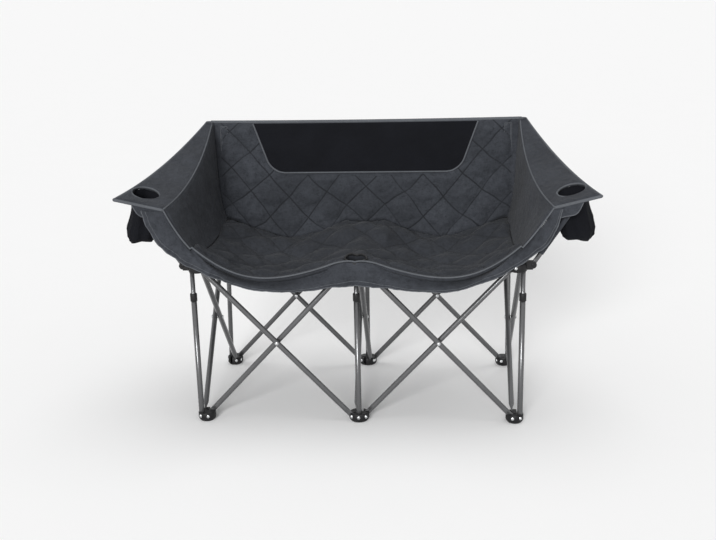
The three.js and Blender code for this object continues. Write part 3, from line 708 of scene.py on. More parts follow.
def pad_mesh(across, along, top, bottom, cloth, quilt=flat_map, free=None, plain=None):
    """A closed pad over the unit square.

    top and bottom give its two skins, cloth and quilt its two maps, free what may swell and plain
    where it isn't quilted.
    """
    bm = bmesh.new()
    unit = Matrix.Translation((0.5, 0.5, 0.0)) @ Matrix.Scale(0.5, 4)
    bmesh.ops.create_grid(bm, x_segments=across, y_segments=along, size=1.0, matrix=unit)
    loose = bm.verts.layers.float.new("free")
    place_along = bm.verts.layers.float.new("along")
    lay_uv(bm, "cloth", cloth)
    lay_uv(bm, "quilt", quilt, plain)
    made = bmesh.ops.extrude_face_region(bm, geom=bm.faces[:], use_keep_orig=True)["geom"]
    upper = {item for item in made if isinstance(item, bmesh.types.BMVert)}
    lower_faces = [face for face in bm.faces if not any(vert in upper for vert in face.verts)]
    bmesh.ops.reverse_faces(bm, faces=lower_faces)
    for vert in bm.verts:
        u, v = vert.co.x, vert.co.y
        vert[place_along] = v
        if free and vert in upper:
            vert[loose] = free(u, v)
        vert.co = (top if vert in upper else bottom)(u, v)
    return place_y(face_out(bm))


def layer_mesh(across, along, point, high, low, width, height):
    """A thin closed layer of cloth between two lifts of point(u, v, lift)."""
    return pad_mesh(across, along, lambda u, v: point(u, v, high), lambda u, v: point(u, v, low),
                    scaled_map(width, height))


def swell(bm, cap, slack, pressure=4.0):
    """Swells a sewn pad with a short cloth simulation; its lower skin, rim and sewn lines hold."""
    scene = bpy.context.scene
    bm.verts.index_update()
    holder = holder_of(bm, "swelling")
    sewn = holder.vertex_groups.new(name="sewn")
    loose = bm.verts.layers.float["free"]
    for vert in bm.verts:
        if vert[loose] < 1.0:
            sewn.add([vert.index], 1.0 - vert[loose], "REPLACE")
    cloth = holder.modifiers.new("swell", "CLOTH")
    settings = cloth.settings
    for key, value in (("quality", 5), ("mass", 0.25), ("tension_stiffness", 14.0),
                       ("compression_stiffness", 14.0), ("shear_stiffness", 6.0), ("bending_stiffness", 0.25),
                       ("shrink_min", -slack), ("use_pressure", True), ("uniform_pressure_force", pressure),
                       ("vertex_group_mass", "sewn")):
        setattr(settings, key, value)
    settings.effector_weights.gravity = 0.0
    cloth.collision_settings.use_collision = False
    cloth.point_cache.frame_start = 1
    cloth.point_cache.frame_end = SWELL_FRAMES
    for frame in range(1, SWELL_FRAMES + 1):
        scene.frame_set(frame)
    swollen = holder.evaluated_get(bpy.context.evaluated_depsgraph_get()).data
    for vert, after in zip(bm.verts, swollen.vertices):
        step = after.co - vert.co
        if step.length > cap:
            step *= cap / step.length
        vert.co += step
    scene.frame_set(1)
    remove_holder(holder)


def cord(name, points, radius, body, closed=False, slot="fabric", look="piping"):
    """A round cord through points, made a mesh."""
    curve = bpy.data.curves.new(name, "CURVE")
    curve.dimensions = "3D"
    curve.bevel_depth = radius
    curve.bevel_resolution = 3
    curve.use_fill_caps = True
    spline = curve.splines.new("POLY")
    spline.points.add(len(points) - 1)
    for point, place in zip(spline.points, points):
        point.co = (place[0], place[1] + MIDDLE_Y, place[2], 1.0)
    spline.use_cyclic_u = closed
    holder = add_object(name, curve)
    mesh = bpy.data.meshes.new_from_object(holder.evaluated_get(bpy.context.evaluated_depsgraph_get()))
    bpy.data.objects.remove(holder)
    bpy.data.curves.remove(curve)
    bm = bmesh.new()
    bm.from_mesh(mesh)
    bpy.data.meshes.remove(mesh)
    bmesh.ops.remove_doubles(bm, verts=bm.verts, dist=1e-6)
    cloth_piece(name, face_out(bm), body, slot=slot, look=look)


# Cloth surfaces, in the chair's own rows

def ease(value, low, high):
    """0 below low, 1 above high, smooth between."""
    t = min(1.0, max(0.0, (value - low) / (high - low)))
    return t * t * (3 - 2 * t)


def clamp(value):
    return min(1.0, max(0.0, value))


def smooth_max(a, b, reach=0.006):
    """The larger of two heights, with a soft change from one to the other."""
    return (a + b + math.sqrt((a - b) ** 2 + reach * reach) - reach) / 2


def bezier(start, pull, end, t):
    """A point of the arc from start to end that is drawn towards pull."""
    left = 1 - t
    return start * left * left + 2 * pull * t * left + end * t * t


def arc_over(start, middle, end, t):
    """A point of the arc from start over middle to end."""
    return bezier(start, 2 * middle - (start + end) / 2, end, t)


def through(points, t):
    """A smooth curve through points, t of the way along it."""
    last = len(points) - 1
    spot = min(last - 1e-9, max(0.0, t * last))
    k = int(spot)
    s = spot - k
    near = [points[max(0, min(last, k + d))] for d in (-1, 0, 1, 2)]
    return tuple(
        0.5 * (2 * b + (c - a) * s + (2 * a - 5 * b + 4 * c - d) * s * s + (3 * b - a - 3 * c + d) * s ** 3)
        for a, b, c, d in zip(*near))


def ring_turns(count=64):
    return [2 * math.pi * k / count for k in range(count)]


def scallop(share, centre, dip, lift, skew):
    return centre - dip * math.sin(math.pi * share ** skew) + lift * share ** 4


def fold_height(x):
    start = CENTRE_HALF_WIDTH + TENT_REACH
    share = clamp((abs(x) - start) / (FOLD_HALF_WIDTH - start))
    beyond = clamp((abs(x) - FOLD_HALF_WIDTH) / (SEAT_HALF_WIDTH - FOLD_HALF_WIDTH))
    return HUB_TOP + HUB_CLEARANCE + PAD - FOLD_DIP * math.sin(math.pi * share) + FOLD_RISE * beyond


def pad_thickness(x, share):
    """The padding is pressed thin where it runs over the rear hubs."""
    over = max(1 - ease(abs(x), 0.045, 0.120), ease(abs(x), 0.420, 0.460))
    return PAD - 0.0075 * over * ease(share, 0.72, 0.92)


def lip_height(x):
    """The lip dips on each side of its middle and has a shoulder beside the front centre hub."""
    away = abs(x) - LIP_SHOULDER_PLACE
    fall = (away / LIP_SHOULDER_INNER) ** 4 if away < 0 else (away / LIP_SHOULDER_OUTER) ** 2
    return scallop(abs(x) / SEAT_HALF_WIDTH, *LIP) + LIP_SHOULDER / (1 + fall)


def back_post_y(z):
    return POST_ROW + BACK_SLOPE * (z - FOOT_PIVOT)


def back_face_y(z):
    return back_post_y(z) - BACK_POST_RADIUS - PAD - 2 * SEW_GAP


def seat_point(x, share):
    """The seat's upper side: share runs from the lip, 0, to the fold, 1."""
    lip, rear = lip_height(x), fold_height(x)
    sag = arc_over(lip, scallop(abs(x) / SEAT_HALF_WIDTH, *SEAT_MIDDLE), rear, share)
    y = FRONT_Y + share * (back_face_y(rear - PAD) - FOLD_GAP - FRONT_Y)
    tent = rear - TENT_SLOPE * max(0.0, ROW - BLOCK_HALF_DEPTH - TENT_REACH - y)
    brow = lip - TENT_SLOPE * max(0.0, y + ROW - BLOCK_HALF_DEPTH)
    return Vector((x, y, smooth_max(smooth_max(sag, tent), brow)))


def back_point(x, share):
    """The backrest's front: share runs from the fold, 0, to the top edge, 1."""
    low = fold_height(x) - PAD + SEW_GAP
    high = BACK_TOP - BACK_TOP_SAG * (1 - (x / BACK_HALF_WIDTH) ** 2)
    z = low + share * (high - low)
    return Vector((x, back_face_y(z), z))


def arm_point(side, u, v):
    """u runs from the seat over the inner wall and the crest to the outer edge, v from front to rear."""
    base, knee, crest, edge = ([arc_over(*axis, v) for axis in zip(*ARM_SECTIONS[key])] for key in ARM_SECTIONS)
    if side < 0:
        crest[0] -= LEFT_CREST_SHIFT * (1 - v) ** 2
    if u < 0.5:
        x, z = (bezier(base[k], knee[k], crest[k], 2 * u) for k in (0, 1))
    else:
        x, z = (crest[k] + (edge[k] - crest[k]) * (2 * u - 1) for k in (0, 1))
    rear = back_face_y(z) - ARM_THICKNESS / 2 - SEW_GAP
    return Vector((side * x, FRONT_Y + v * (rear - FRONT_Y), z))


def arm_height(x, y):
    """Height of an arm's top panel over a place on the ground."""
    low_v, high_v = 0.0, 1.0
    for _ in range(30):
        v = (low_v + high_v) / 2
        inner, outer = arm_point(1, 0.5, v), arm_point(1, 1.0, v)
        share = (x - inner.x) / (outer.x - inner.x)
        if inner.y + share * (outer.y - inner.y) < y:
            low_v = v
        else:
            high_v = v
    return inner.z + share * (outer.z - inner.z)


def surface_normal(point, u, v, step=1e-3):
    u0, u1 = max(0.0, u - step), min(1.0, u + step)
    v0, v1 = max(0.0, v - step), min(1.0, v + step)
    return (point(u1, v) - point(u0, v)).cross(point(u, v1) - point(u, v0)).normalized()


def border(u, v, width, height):
    """Distance from the border of a panel of this size."""
    return min(u * width, (1 - u) * width, v * height, (1 - v) * height)


def rounded(near, reach):
    """0 at a pad's border and 1 from reach inward, round like a sewn edge."""
    return math.sqrt(max(0.0, 1 - (1 - min(1.0, near / reach)) ** 2))


def edge_roll(near):
    """How far a skin draws in towards the seam at a distance from a pad's border."""
    return 0.42 * PAD * (1 - rounded(near, 0.010))


def quilt_puff(across, along):
    """Swell of a diamond at a place counted in quarter diamonds, zero on the sewn lines."""
    rising = math.sin(math.pi * (across + along) / 4)
    falling = math.sin(math.pi * (across - along) / 4)
    return abs(rising * falling) ** 0.42


def strayed(u, v, width, height, seed):
    """Where a place of a sewn panel really lies: the cloth creeps a little under the needle."""
    reach = 0.0055 * ease(border(u, v, width, height), 0.0, 0.05)
    spot = Vector((u * width * 15, v * height * 15, seed))
    across, along = noise.noise(spot), noise.noise(spot + Vector((9.2, 4.1, 3.7)))
    return u + reach * across / width, v + reach * along / height


def off_line(line):
    """Distance of a place from the nearest sewn line, counted in quarter diamonds."""
    return abs((line + 2) % 4 - 2)


def pucker(across, along, seed):
    """Short creases that run off the sewn lines into the diamonds, from 0 to 1."""
    crease = 0.0
    for line, way in ((across + along, across - along), (across - along, across + along)):
        shift = 0.35 * noise.noise(Vector((way * 0.9, line * 0.4, seed)))
        ridge = 1 - abs(math.sin(math.pi * (way * 1.15 + shift)))
        depth = 0.35 + abs(noise.noise(Vector((way * 0.6, seed, line))))
        crease = max(crease, ridge ** 3 * math.exp(-off_line(line) * 2.6) * depth)
    return min(1.0, crease)


def unsewn(across, along):
    """1 inside a diamond and 0 on its sewn lines."""
    near = min(off_line(across + along), off_line(across - along))
    return 0.0 if near < 0.02 else min(1.0, 0.35 + near)


def quilt_relief(across, along, seed):
    """Height of the quilting over its backing: swollen diamonds, creased beside the sewn lines."""
    return sizes().quilt_height * quilt_puff(across, along) - 0.0022 * pucker(across, along, seed)


def quilt_cells(width):
    """How many quarter diamonds go across a panel, kept even so that the pattern is centred."""
    return 2 * round(width * 4 / (2 * DIAMOND))


def quilt_map(count, rows):
    return lambda u, v: ((u - 0.5) * count / 4, v * rows / 4)


def wrinkle(place, scale, height):
    """Soft ridged wrinkles from layered noise."""
    spot = Vector(place) * scale
    broad = noise.noise(spot, noise_basis="PERLIN_ORIGINAL")
    fine = noise.noise(spot * 2.7 + Vector((7.3, 1.9, 4.4)), noise_basis="PERLIN_ORIGINAL")
    ridge = 1 - abs(2 * fine)
    return height * (0.7 * broad + 0.45 * max(0.0, ridge) ** 3)


# Frame

def columns():
    for row, sign in ROWS:
        for place, side in PLACES:
            yield row, sign, place, side


def foot_body(row, place):
    return "front_centre" if (row, place) == ("front", "centre") else f"{row}_{place}_foot"


def tab_stations(length, far_tab):
    """A round tube whose ends are pressed flat and rounded off."""
    thin, wide, r = TAB_HALF_THICKNESS, TAB_HALF_WIDTH + 0.0006, CROSS_RADIUS
    bend = TAB_LENGTH - 0.006
    near = [(-TAB_OVERRUN, thin * 0.75, wide * 0.45), (-TAB_OVERRUN + 0.0012, thin, wide * 0.72),
            (-TAB_OVERRUN + 0.0035, thin, wide * 0.93), (0.0, thin, wide), (bend, thin, wide)]
    for k in range(1, 7):
        full = ease(k / 6, 0.0, 1.0)
        near.append((bend + k / 6 * TAB_TRANSITION, thin + (r - thin) * full, wide + (r - wide) * full))
    if far_tab:
        return near + [(length - x, y, z) for x, y, z in reversed(near)]
    return near + [(length, r, r)]


def crossing(name, bodies, along_x, low, plane, layer):
    """A pair of cross tubes and the rivet they turn on: low is the rising tube's foot end."""
    rising_body, falling_body, pin_body = bodies

    def spot(way, across, height):
        return Vector((way, across, height) if along_x else (across, way, height))

    for label, body, start, offset, turn in (
            ("rising", rising_body, low, layer, -CROSS_ANGLE),
            ("falling", falling_body, low + CROSS_SPAN, -layer, CROSS_ANGLE - math.pi)):
        bm = sweep(tab_stations(CROSS_LENGTH, True), sizes().tube_sides)
        matrix = Matrix.Rotation(turn, 4, "Y")
        if not along_x:
            matrix = Matrix.Rotation(math.pi / 2, 4, "Z") @ matrix
        transform(bm, Matrix.Translation(spot(start, plane + offset, FOOT_PIVOT)) @ matrix)
        steel(f"{name}_cross_tube_{label}", bm, body)
    reach, inner = LAYER + CROSS_RADIUS + 0.0003, LAYER - CROSS_RADIUS
    way = spot(0.0, 1.0, 0.0)
    centre = spot(low + CROSS_SPAN / 2, plane, FOOT_PIVOT + RISE / 2)
    shapes = [rod(0.003, centre - way * reach, centre + way * reach, 16)]
    for sign in (-1, 1):
        shapes.append(rivet_head(centre + way * sign * (reach + 0.0006), way * sign))
        washer = (centre + way * sign * (reach + end) for end in (-0.0006, 0.0002))
        shapes.append(rod(0.0062, *washer, 24))
    shapes.append(rod(0.005, centre - way * inner, centre + way * inner, 20))
    node = f"{name}_cross_pin"
    rivets(node + "_rivet", shapes, pin_body, [node])


class CHAIR_OT_cross_tubes(bpy.types.Operator):
    """Builds the cross tubes of the scissors and the rivets they turn on"""

    bl_idname = "chair.cross_tubes"
    bl_label = "Cross tubes"

    def execute(self, context):
        for row, sign in ROWS:
            for place, side in SIDES:
                name = f"{row}_{place}"
                tubes = (f"{name}_outer_tube", f"{name}_inner_tube")
                pair = tubes if side < 0 else tubes[::-1]
                low = -CORNER_PIVOT if side < 0 else CENTRE_PIVOT
                crossing(name, (*pair, tubes[1]), True, low, sign * ROW, LAYER)
        for place, side in PLACES:
            body = f"{place}_side" if side else "centre"
            tubes = (f"{body}_rising_tube", f"{body}_falling_tube")
            crossing(f"{place}_side", (*tubes, tubes[0]), False, -SIDE_PIVOT, side * SIDE_PLANE, -LAYER)
        return {"FINISHED"}


def oval_block(x, y, half_width, stations):
    bm = sweep([(z, BLOCK_HALF_DEPTH * share, half_width * share) for z, share in stations], 48)
    return face_out(transform(bm, Matrix(((0, 0, 1, x), (0, 1, 0, y), (1, 0, 0, 0), (0, 0, 0, 1)))))


def tab_slots(x, y, side, sign, pivot_z, up, half_width):
    """The slot boxes and rivet heads for the tube ends that a foot or hub holds."""
    far = 2 * BLOCK_HALF_DEPTH
    bottom, top = (pivot_z - SLOT_REACH, pivot_z + far) if up > 0 else (pivot_z - far, pivot_z + SLOT_REACH)
    slots, heads = [], []
    for pivot in (-CENTRE_PIVOT, CENTRE_PIVOT) if side == 0 else (side * CORNER_PIVOT,):
        towards = math.copysign(1, pivot) if side == 0 else -side
        plane = y + (LAYER if up * towards > 0 else -LAYER)
        near_x, far_x = sorted((pivot - towards * SLOT_REACH, pivot + towards * far))
        slots.append(cuboid((near_x, plane - SLOT_HALF, bottom), (far_x, plane + SLOT_HALF, top)))
        edge = BLOCK_HALF_DEPTH * math.sqrt(max(0.0, 1 - ((pivot - x) / half_width) ** 2))
        heads += [rivet_head((pivot, y + way * edge, pivot_z), (0, way, 0)) for way in (-1, 1)]
    plane = side * SIDE_PLANE + (LAYER if up * -sign > 0 else -LAYER)
    pivot_y = sign * SIDE_PIVOT
    near_y, far_y = sorted((pivot_y + sign * SLOT_REACH, pivot_y - sign * far))
    slots.append(cuboid((plane - SLOT_HALF, near_y, bottom), (plane + SLOT_HALF, far_y, top)))
    edge = half_width * math.sqrt(1 - ((pivot_y - y) / BLOCK_HALF_DEPTH) ** 2)
    heads += [rivet_head((x + way * edge, pivot_y, pivot_z), (way, 0, 0)) for way in (-1, 1)]
    return slots, heads


def leaning_rod(radius, x, y, low, high, base, slope, sides=32, round_end=0.0):
    """A rod that stands at (x, y) at height base and leans back by slope."""
    ends = ((x, y + slope * (z - base), z) for z in (low, high))
    return rod(radius, *ends, sides, round_end)


def oblong_rod(radius, x, low, high, slope=0.0, round_end=0.0):
    """A rod on a rear hub's sleeve, drawn out along Y for the back post's travel."""
    bm = leaning_rod(radius, x, SLEEVE_ROW, low, high, HUB_PIVOT, slope, 36, round_end)
    for vert in bm.verts:
        ahead = vert.co.y < SLEEVE_ROW + slope * (vert.co.z - HUB_PIVOT) - 1e-5
        vert.co.y += -SLEEVE_STRETCH if ahead else SLEEVE_STRETCH
    return bm


class CHAIR_OT_feet(bpy.types.Operator):
    """Builds the moulded feet with their slots and rivets"""

    bl_idname = "chair.feet"
    bl_label = "Feet"

    def execute(self, context):
        stations = [(0.0, 0.80), (0.0012, 0.835), (0.006, 0.95), (0.010, 1.0),
                    (0.0245, 0.99), (0.027, 0.955), (0.028, 0.915)]
        for row, sign, place, side in columns():
            half = CENTRE_HALF_WIDTH if side == 0 else CORNER_HALF_WIDTH
            x, y, post_x = side * COLUMN, sign * ROW, side * CORNER_POST
            radius, lean = (BACK_POST_RADIUS, BACK_SLOPE) if sign > 0 else (OUTER_POST_RADIUS, 0.0)
            socket = leaning_rod(radius + 0.0008, post_x, sign * POST_ROW, POST_FOOT - 0.001, 2 * FOOT_HEIGHT,
                                 FOOT_PIVOT, lean)
            slots, heads = tab_slots(x, y, side, sign, FOOT_PIVOT, 1, half)
            node, body = f"{row}_{place}_foot", foot_body(row, place)
            soften_edges(moulding(node, carve(oval_block(x, y, half, stations), cut=[socket, *slots]), body))
            if sign < 0:
                edge = BLOCK_HALF_DEPTH * math.sqrt(1 - ((post_x - x) / half) ** 2)
                heads.append(rivet_head((post_x, y - edge, FOOT_PIVOT), (0, -1, 0)))
            rivets(node + "_rivets", heads, body)
        return {"FINISHED"}


def arm_lug(side):
    """The ears that the arm support turns between, their slot and their rivet heads."""
    px, pz = ARM_PIVOT
    depth, reach = SLOT_HALF + 0.004, 0.022
    near_x, far_x = sorted((side * (px - reach), side * px))
    lug = cuboid((near_x, -ROW - depth, pz - 0.015), (far_x, -ROW + depth, pz + 0.011))
    nose = rod(0.0115, (side * px, -ROW - depth, pz - 0.0005), (side * px, -ROW + depth, pz - 0.0005))
    near_x, far_x = sorted((side * (px - SLOT_REACH), side * (px + reach)))
    slot = cuboid((near_x, -ROW - SLOT_HALF, pz - SLOT_REACH), (far_x, -ROW + SLOT_HALF, pz + reach))
    heads = [rivet_head((side * px, -ROW + way * depth, pz), (0, way, 0)) for way in (-1, 1)]
    return [lug, nose], slot, heads


class CHAIR_OT_hubs(bpy.types.Operator):
    """Builds the moulded hubs at the tops of the scissors"""

    bl_idname = "chair.hubs"
    bl_label = "Hubs"

    def execute(self, context):
        base = HUB_TOP - HUB_HEIGHT
        stations = [(base, 0.90), (base + 0.001, 0.95), (base + 0.004, 0.985), (base + 0.016, 1.0),
                    (HUB_TOP - 0.006, 0.975), (HUB_TOP - 0.002, 0.90), (HUB_TOP, 0.80)]
        for row, sign, place, side in columns():
            half = CENTRE_HALF_WIDTH if side == 0 else CORNER_HALF_WIDTH
            x, y, post_x = side * COLUMN, sign * ROW, side * CORNER_POST
            node = f"{row}_{place}_hub"
            joined, cut = [], []
            slots, heads = tab_slots(x, y, side, sign, HUB_PIVOT, -1, half)
            if sign < 0:
                cut.append(rod(INNER_POST_RADIUS + 0.0004, (post_x, -POST_ROW, base - 0.01),
                               (post_x, -POST_ROW, HUB_TOP - 0.005)))
                if side:
                    joined, slot, ears = arm_lug(side)
                    cut.append(slot)
                    new_piece(node + "_arm_rivets", place_y(merge(*ears)), node, "plastic")
            else:
                skin = BACK_POST_RADIUS + 0.0042
                neck = skin - 0.0002
                joined = [cuboid((post_x - neck, ROW, base + 0.001), (post_x + neck, SLEEVE_ROW, HUB_TOP - 0.001)),
                          oblong_rod(skin, post_x, base, HUB_TOP, round_end=0.001)]
                cut.append(oblong_rod(BACK_POST_RADIUS + 0.0012, post_x, base - 0.01, HUB_TOP + 0.01, BACK_SLOPE))
            soften_edges(moulding(node, carve(oval_block(x, y, half, stations), joined, cut + slots), node))
            rivets(node + "_rivets", heads, node)
        return {"FINISHED"}


class CHAIR_OT_posts(bpy.types.Operator):
    """Builds the telescoping front posts, their collars and the leaning back posts"""

    bl_idname = "chair.posts"
    bl_label = "Posts"

    def execute(self, context):
        sides = sizes().tube_sides
        for place, side in PLACES:
            x = side * CORNER_POST
            self.outer_post(place, x, sides)
            self.collar(place, x)
            bm = rod(INNER_POST_RADIUS, (x, -POST_ROW, 0.205), (x, -POST_ROW, HUB_TOP - 0.0045), sides)
            steel(f"front_{place}_inner_post", bm, f"front_{place}_hub")
        for place, side in PLACES:
            x, low, high = side * CORNER_POST, POST_FOOT + 0.002, BACK_POST_TOP
            bm = rod(BACK_POST_RADIUS, (x, back_post_y(low), low), (x, back_post_y(high), high), sides, 0.0012)
            steel(f"{place}_back_post", bm, f"{place}_back_post")
        return {"FINISHED"}

    def outer_post(self, place, x, sides):
        """Pressed flat at its foot, round above."""
        r = OUTER_POST_RADIUS
        bm = sweep([(POST_FOOT, 0.0062, r), (0.030, 0.0064, r), (0.036, 0.0068, r), (0.050, 0.0082, r),
                    (0.062, r, r), (COLLAR_HIGH - 0.0045, r, r)], sides)
        stand = Matrix(((0, 0, 1, 0), (0, 1, 0, 0), (1, 0, 0, 0), (0, 0, 0, 1)))
        transform(bm, Matrix.Translation((x, -POST_ROW, 0)) @ stand)
        steel(f"front_{place}_outer_post", face_out(bm), foot_body("front", place))

    def collar(self, place, x):
        seat, guide = OUTER_POST_RADIUS + 0.0003, INNER_POST_RADIUS + 0.0004
        skin, shoulder = seat + 0.0018, COLLAR_HIGH - 0.004
        bm = turned([(seat, COLLAR_LOW), (skin - 0.0006, COLLAR_LOW), (skin, COLLAR_LOW + 0.0008),
                     (skin, COLLAR_HIGH - 0.0025), (skin - 0.0008, COLLAR_HIGH - 0.0008),
                     (skin - 0.002, COLLAR_HIGH), (guide, COLLAR_HIGH), (guide, shoulder), (seat, shoulder)],
                    40, True)
        moulding(f"front_{place}_post_collar", shift(bm, x, -POST_ROW), foot_body("front", place))


class CHAIR_OT_arm_supports(bpy.types.Operator):
    """Builds the slanting tubes that hold up the arm tips and the cloth sleeves round them"""

    bl_idname = "chair.arm_supports"
    bl_label = "Arm supports"

    def execute(self, context):
        slim = ARM_TUBE_RADIUS / CROSS_RADIUS
        for place, side in SIDES:
            start, end = (Vector((side * x, -ROW, z)) for x, z in (ARM_PIVOT, ARM_TIP))
            stations = [(x, y * slim if y > TAB_HALF_THICKNESS else y, z * slim)
                        for x, y, z in tab_stations((end - start).length, False)]
            angle = math.atan2(ARM_TIP[1] - ARM_PIVOT[1], ARM_TIP[0] - ARM_PIVOT[0])
            turn = Matrix.Rotation(-angle if side > 0 else angle - math.pi, 4, "Y")
            bm = transform(sweep(stations, sizes().tube_sides), Matrix.Translation(start) @ turn)
            steel(f"{place}_arm_support", bm, f"{place}_arm")
            bm = rod(ARM_TUBE_RADIUS + 0.0016, start.lerp(end, 0.20), start.lerp(end, 0.97), 32, 0.001)
            lay_uv(bm, "cloth", flat_map)
            new_piece(f"{place}_arm_sleeve", place_y(bm), f"{place}_arm", "fabric")
        return {"FINISHED"}


def cut_seat(whole, front):
    """One half of the whole seat, closed where it is cut."""
    half = whole.copy()
    along = half.verts.layers.float["along"]
    other = [face for face in half.faces
             if (sum(vert[along] for vert in face.verts) / len(face.verts) < 0.5) != front]
    bmesh.ops.delete(half, geom=other, context="FACES")
    cut_edges = [edge for edge in half.edges if edge.is_boundary]
    if not front:
        moved = {vert for edge in cut_edges for vert in edge.verts}
        bmesh.ops.translate(half, vec=(0.0, 0.0008, 0.0), verts=list(moved))
    for edge in cut_edges:
        edge.smooth = False
    wall = bmesh.ops.holes_fill(half, edges=cut_edges, sides=0)["faces"]
    bmesh.ops.triangulate(half, faces=wall)
    return face_out(half)


class CHAIR_OT_seat(bpy.types.Operator):
    """Builds the quilted seat, in a front and a rear half"""

    bl_idname = "chair.seat"
    bl_label = "Seat"

    def execute(self, context):
        half = SEAT_HALF_WIDTH + SEAT_EDGE
        count = quilt_cells(2 * SEAT_HALF_WIDTH)

        def rim_distance(u, v):
            return min((1 - abs(2 * u - 1)) * half, v * SEAT_DEPTH, (1 - v) * SEAT_DEPTH)

        def quilted(u, v):
            side = (1 - abs(2 * u - 1)) * half
            lip = ease(v * SEAT_DEPTH, LIP_BAND, LIP_BAND + 0.014)
            return lip * ease(side, 0.004, 0.020) * ease(1 - v, 0.01, 0.04)

        def top(u, v):
            su, sv = strayed(u, v, 2 * half, SEAT_DEPTH, 2.0)
            point = seat_point((2 * su - 1) * half, sv)
            relief = quilt_relief((u - 0.5) * count, v * SEAT_ROWS, 1.0) * quilted(u, v)
            relief -= 0.0034 * math.exp(-((v * SEAT_DEPTH - LIP_BAND) / 0.0045) ** 2)
            relief += 0.0022 * math.exp(-((v * SEAT_DEPTH - 0.5 * LIP_BAND) / 0.008) ** 2)
            pressed = PAD - pad_thickness(point.x, v)
            point.z += relief - edge_roll(rim_distance(u, v)) - pressed + wrinkle(point, 24, sizes().wrinkle_height)
            return point

        def bottom(u, v):
            point = seat_point((2 * u - 1) * half, v)
            point.z += edge_roll(rim_distance(u, v)) - PAD + wrinkle(point, 12, 0.0012)
            return point

        def free(u, v):
            held = rim_distance(u, v) < 0.006 or v * SEAT_DEPTH < LIP_BAND + 0.003
            return 0.0 if held else unsewn((u - 0.5) * count, v * SEAT_ROWS)

        whole = pad_mesh(count * SEWN_CELLS, SEAT_ROWS * SEWN_CELLS, top, bottom,
                         scaled_map(2 * half, SEAT_DEPTH), quilt_map(count, SEAT_ROWS),
                         free, lambda u, v: v * SEAT_DEPTH < LIP_BAND)
        swell(whole, QUILT_CAP, slack=0.04)
        for name in ("front", "rear"):
            bm = cut_seat(whole, name == "front")
            if name == "front":
                hole = rod(1.0, (0, 0, 0.3), (0, 0, 0.7), 48)
                bmesh.ops.scale(hole, vec=(CENTRE_HALF_WIDTH + 0.0018, BLOCK_HALF_DEPTH + 0.0040, 1.0),
                                verts=hole.verts)
                bm = carve(bm, cut=[shift(hole, 0, -ROW + MIDDLE_Y)])
            body = f"seat_{name}"
            # the seat look is the cloth with painted shade, darker than the backrest
            cloth_piece(body + "_cushion", bm, body, [body + "_pad"], look="seat")
        whole.free()
        depth = back_face_y(fold_height(0.0) - PAD) - FOLD_GAP - FRONT_Y
        ring = []
        for turn in ring_turns():
            x = (CENTRE_HALF_WIDTH + 0.0022) * math.cos(turn)
            y = -ROW + (BLOCK_HALF_DEPTH + 0.0042) * math.sin(turn)
            ring.append((x, y, top((x / half + 1) / 2, (y - FRONT_Y) / depth).z - 0.0004))
        cord("hub_grommet", ring, 0.0036, "seat_front", True, "plastic", "plastic")
        strip = layer_mesh(160, 10, fold_point, -0.0003, -0.0012, 2 * half, 0.034)
        cloth_piece("fold_strip", strip, "seat_rear")
        return {"FINISHED"}


def fold_point(u, v, lift):
    """The strip sewn under the fold, from the seat's rear edge to the backrest's lower edge."""
    x = (2 * u - 1) * (SEAT_HALF_WIDTH - 0.004)
    low = fold_height(x) - PAD
    rear = back_face_y(low)
    ahead = seat_point(x, 1.0 - 0.030 / SEAT_DEPTH)
    y = ahead.y + (rear + 0.011 - ahead.y) * v
    under = ahead.z - PAD + (low - ahead.z + PAD) * (y - ahead.y) / (rear - FOLD_GAP - ahead.y)
    return Vector((x, y, min(low, under) + lift))


def window_half_width(z):
    share = clamp((WINDOW_TOP - z) / WINDOW_HEIGHT)
    straight = WINDOW_TOP_HALF + share * (WINDOW_BOTTOM_HALF - WINDOW_TOP_HALF)
    left = max(0.0, WINDOW_CORNER - (z - (WINDOW_TOP - WINDOW_HEIGHT)))
    return straight - (WINDOW_CORNER - math.sqrt(max(0.0, WINDOW_CORNER ** 2 - left ** 2)))


def window_away(x, z):
    """Distance of a place on the backrest from the window, negative inside it."""
    return max(abs(x) - window_half_width(z), WINDOW_TOP - WINDOW_HEIGHT - z)


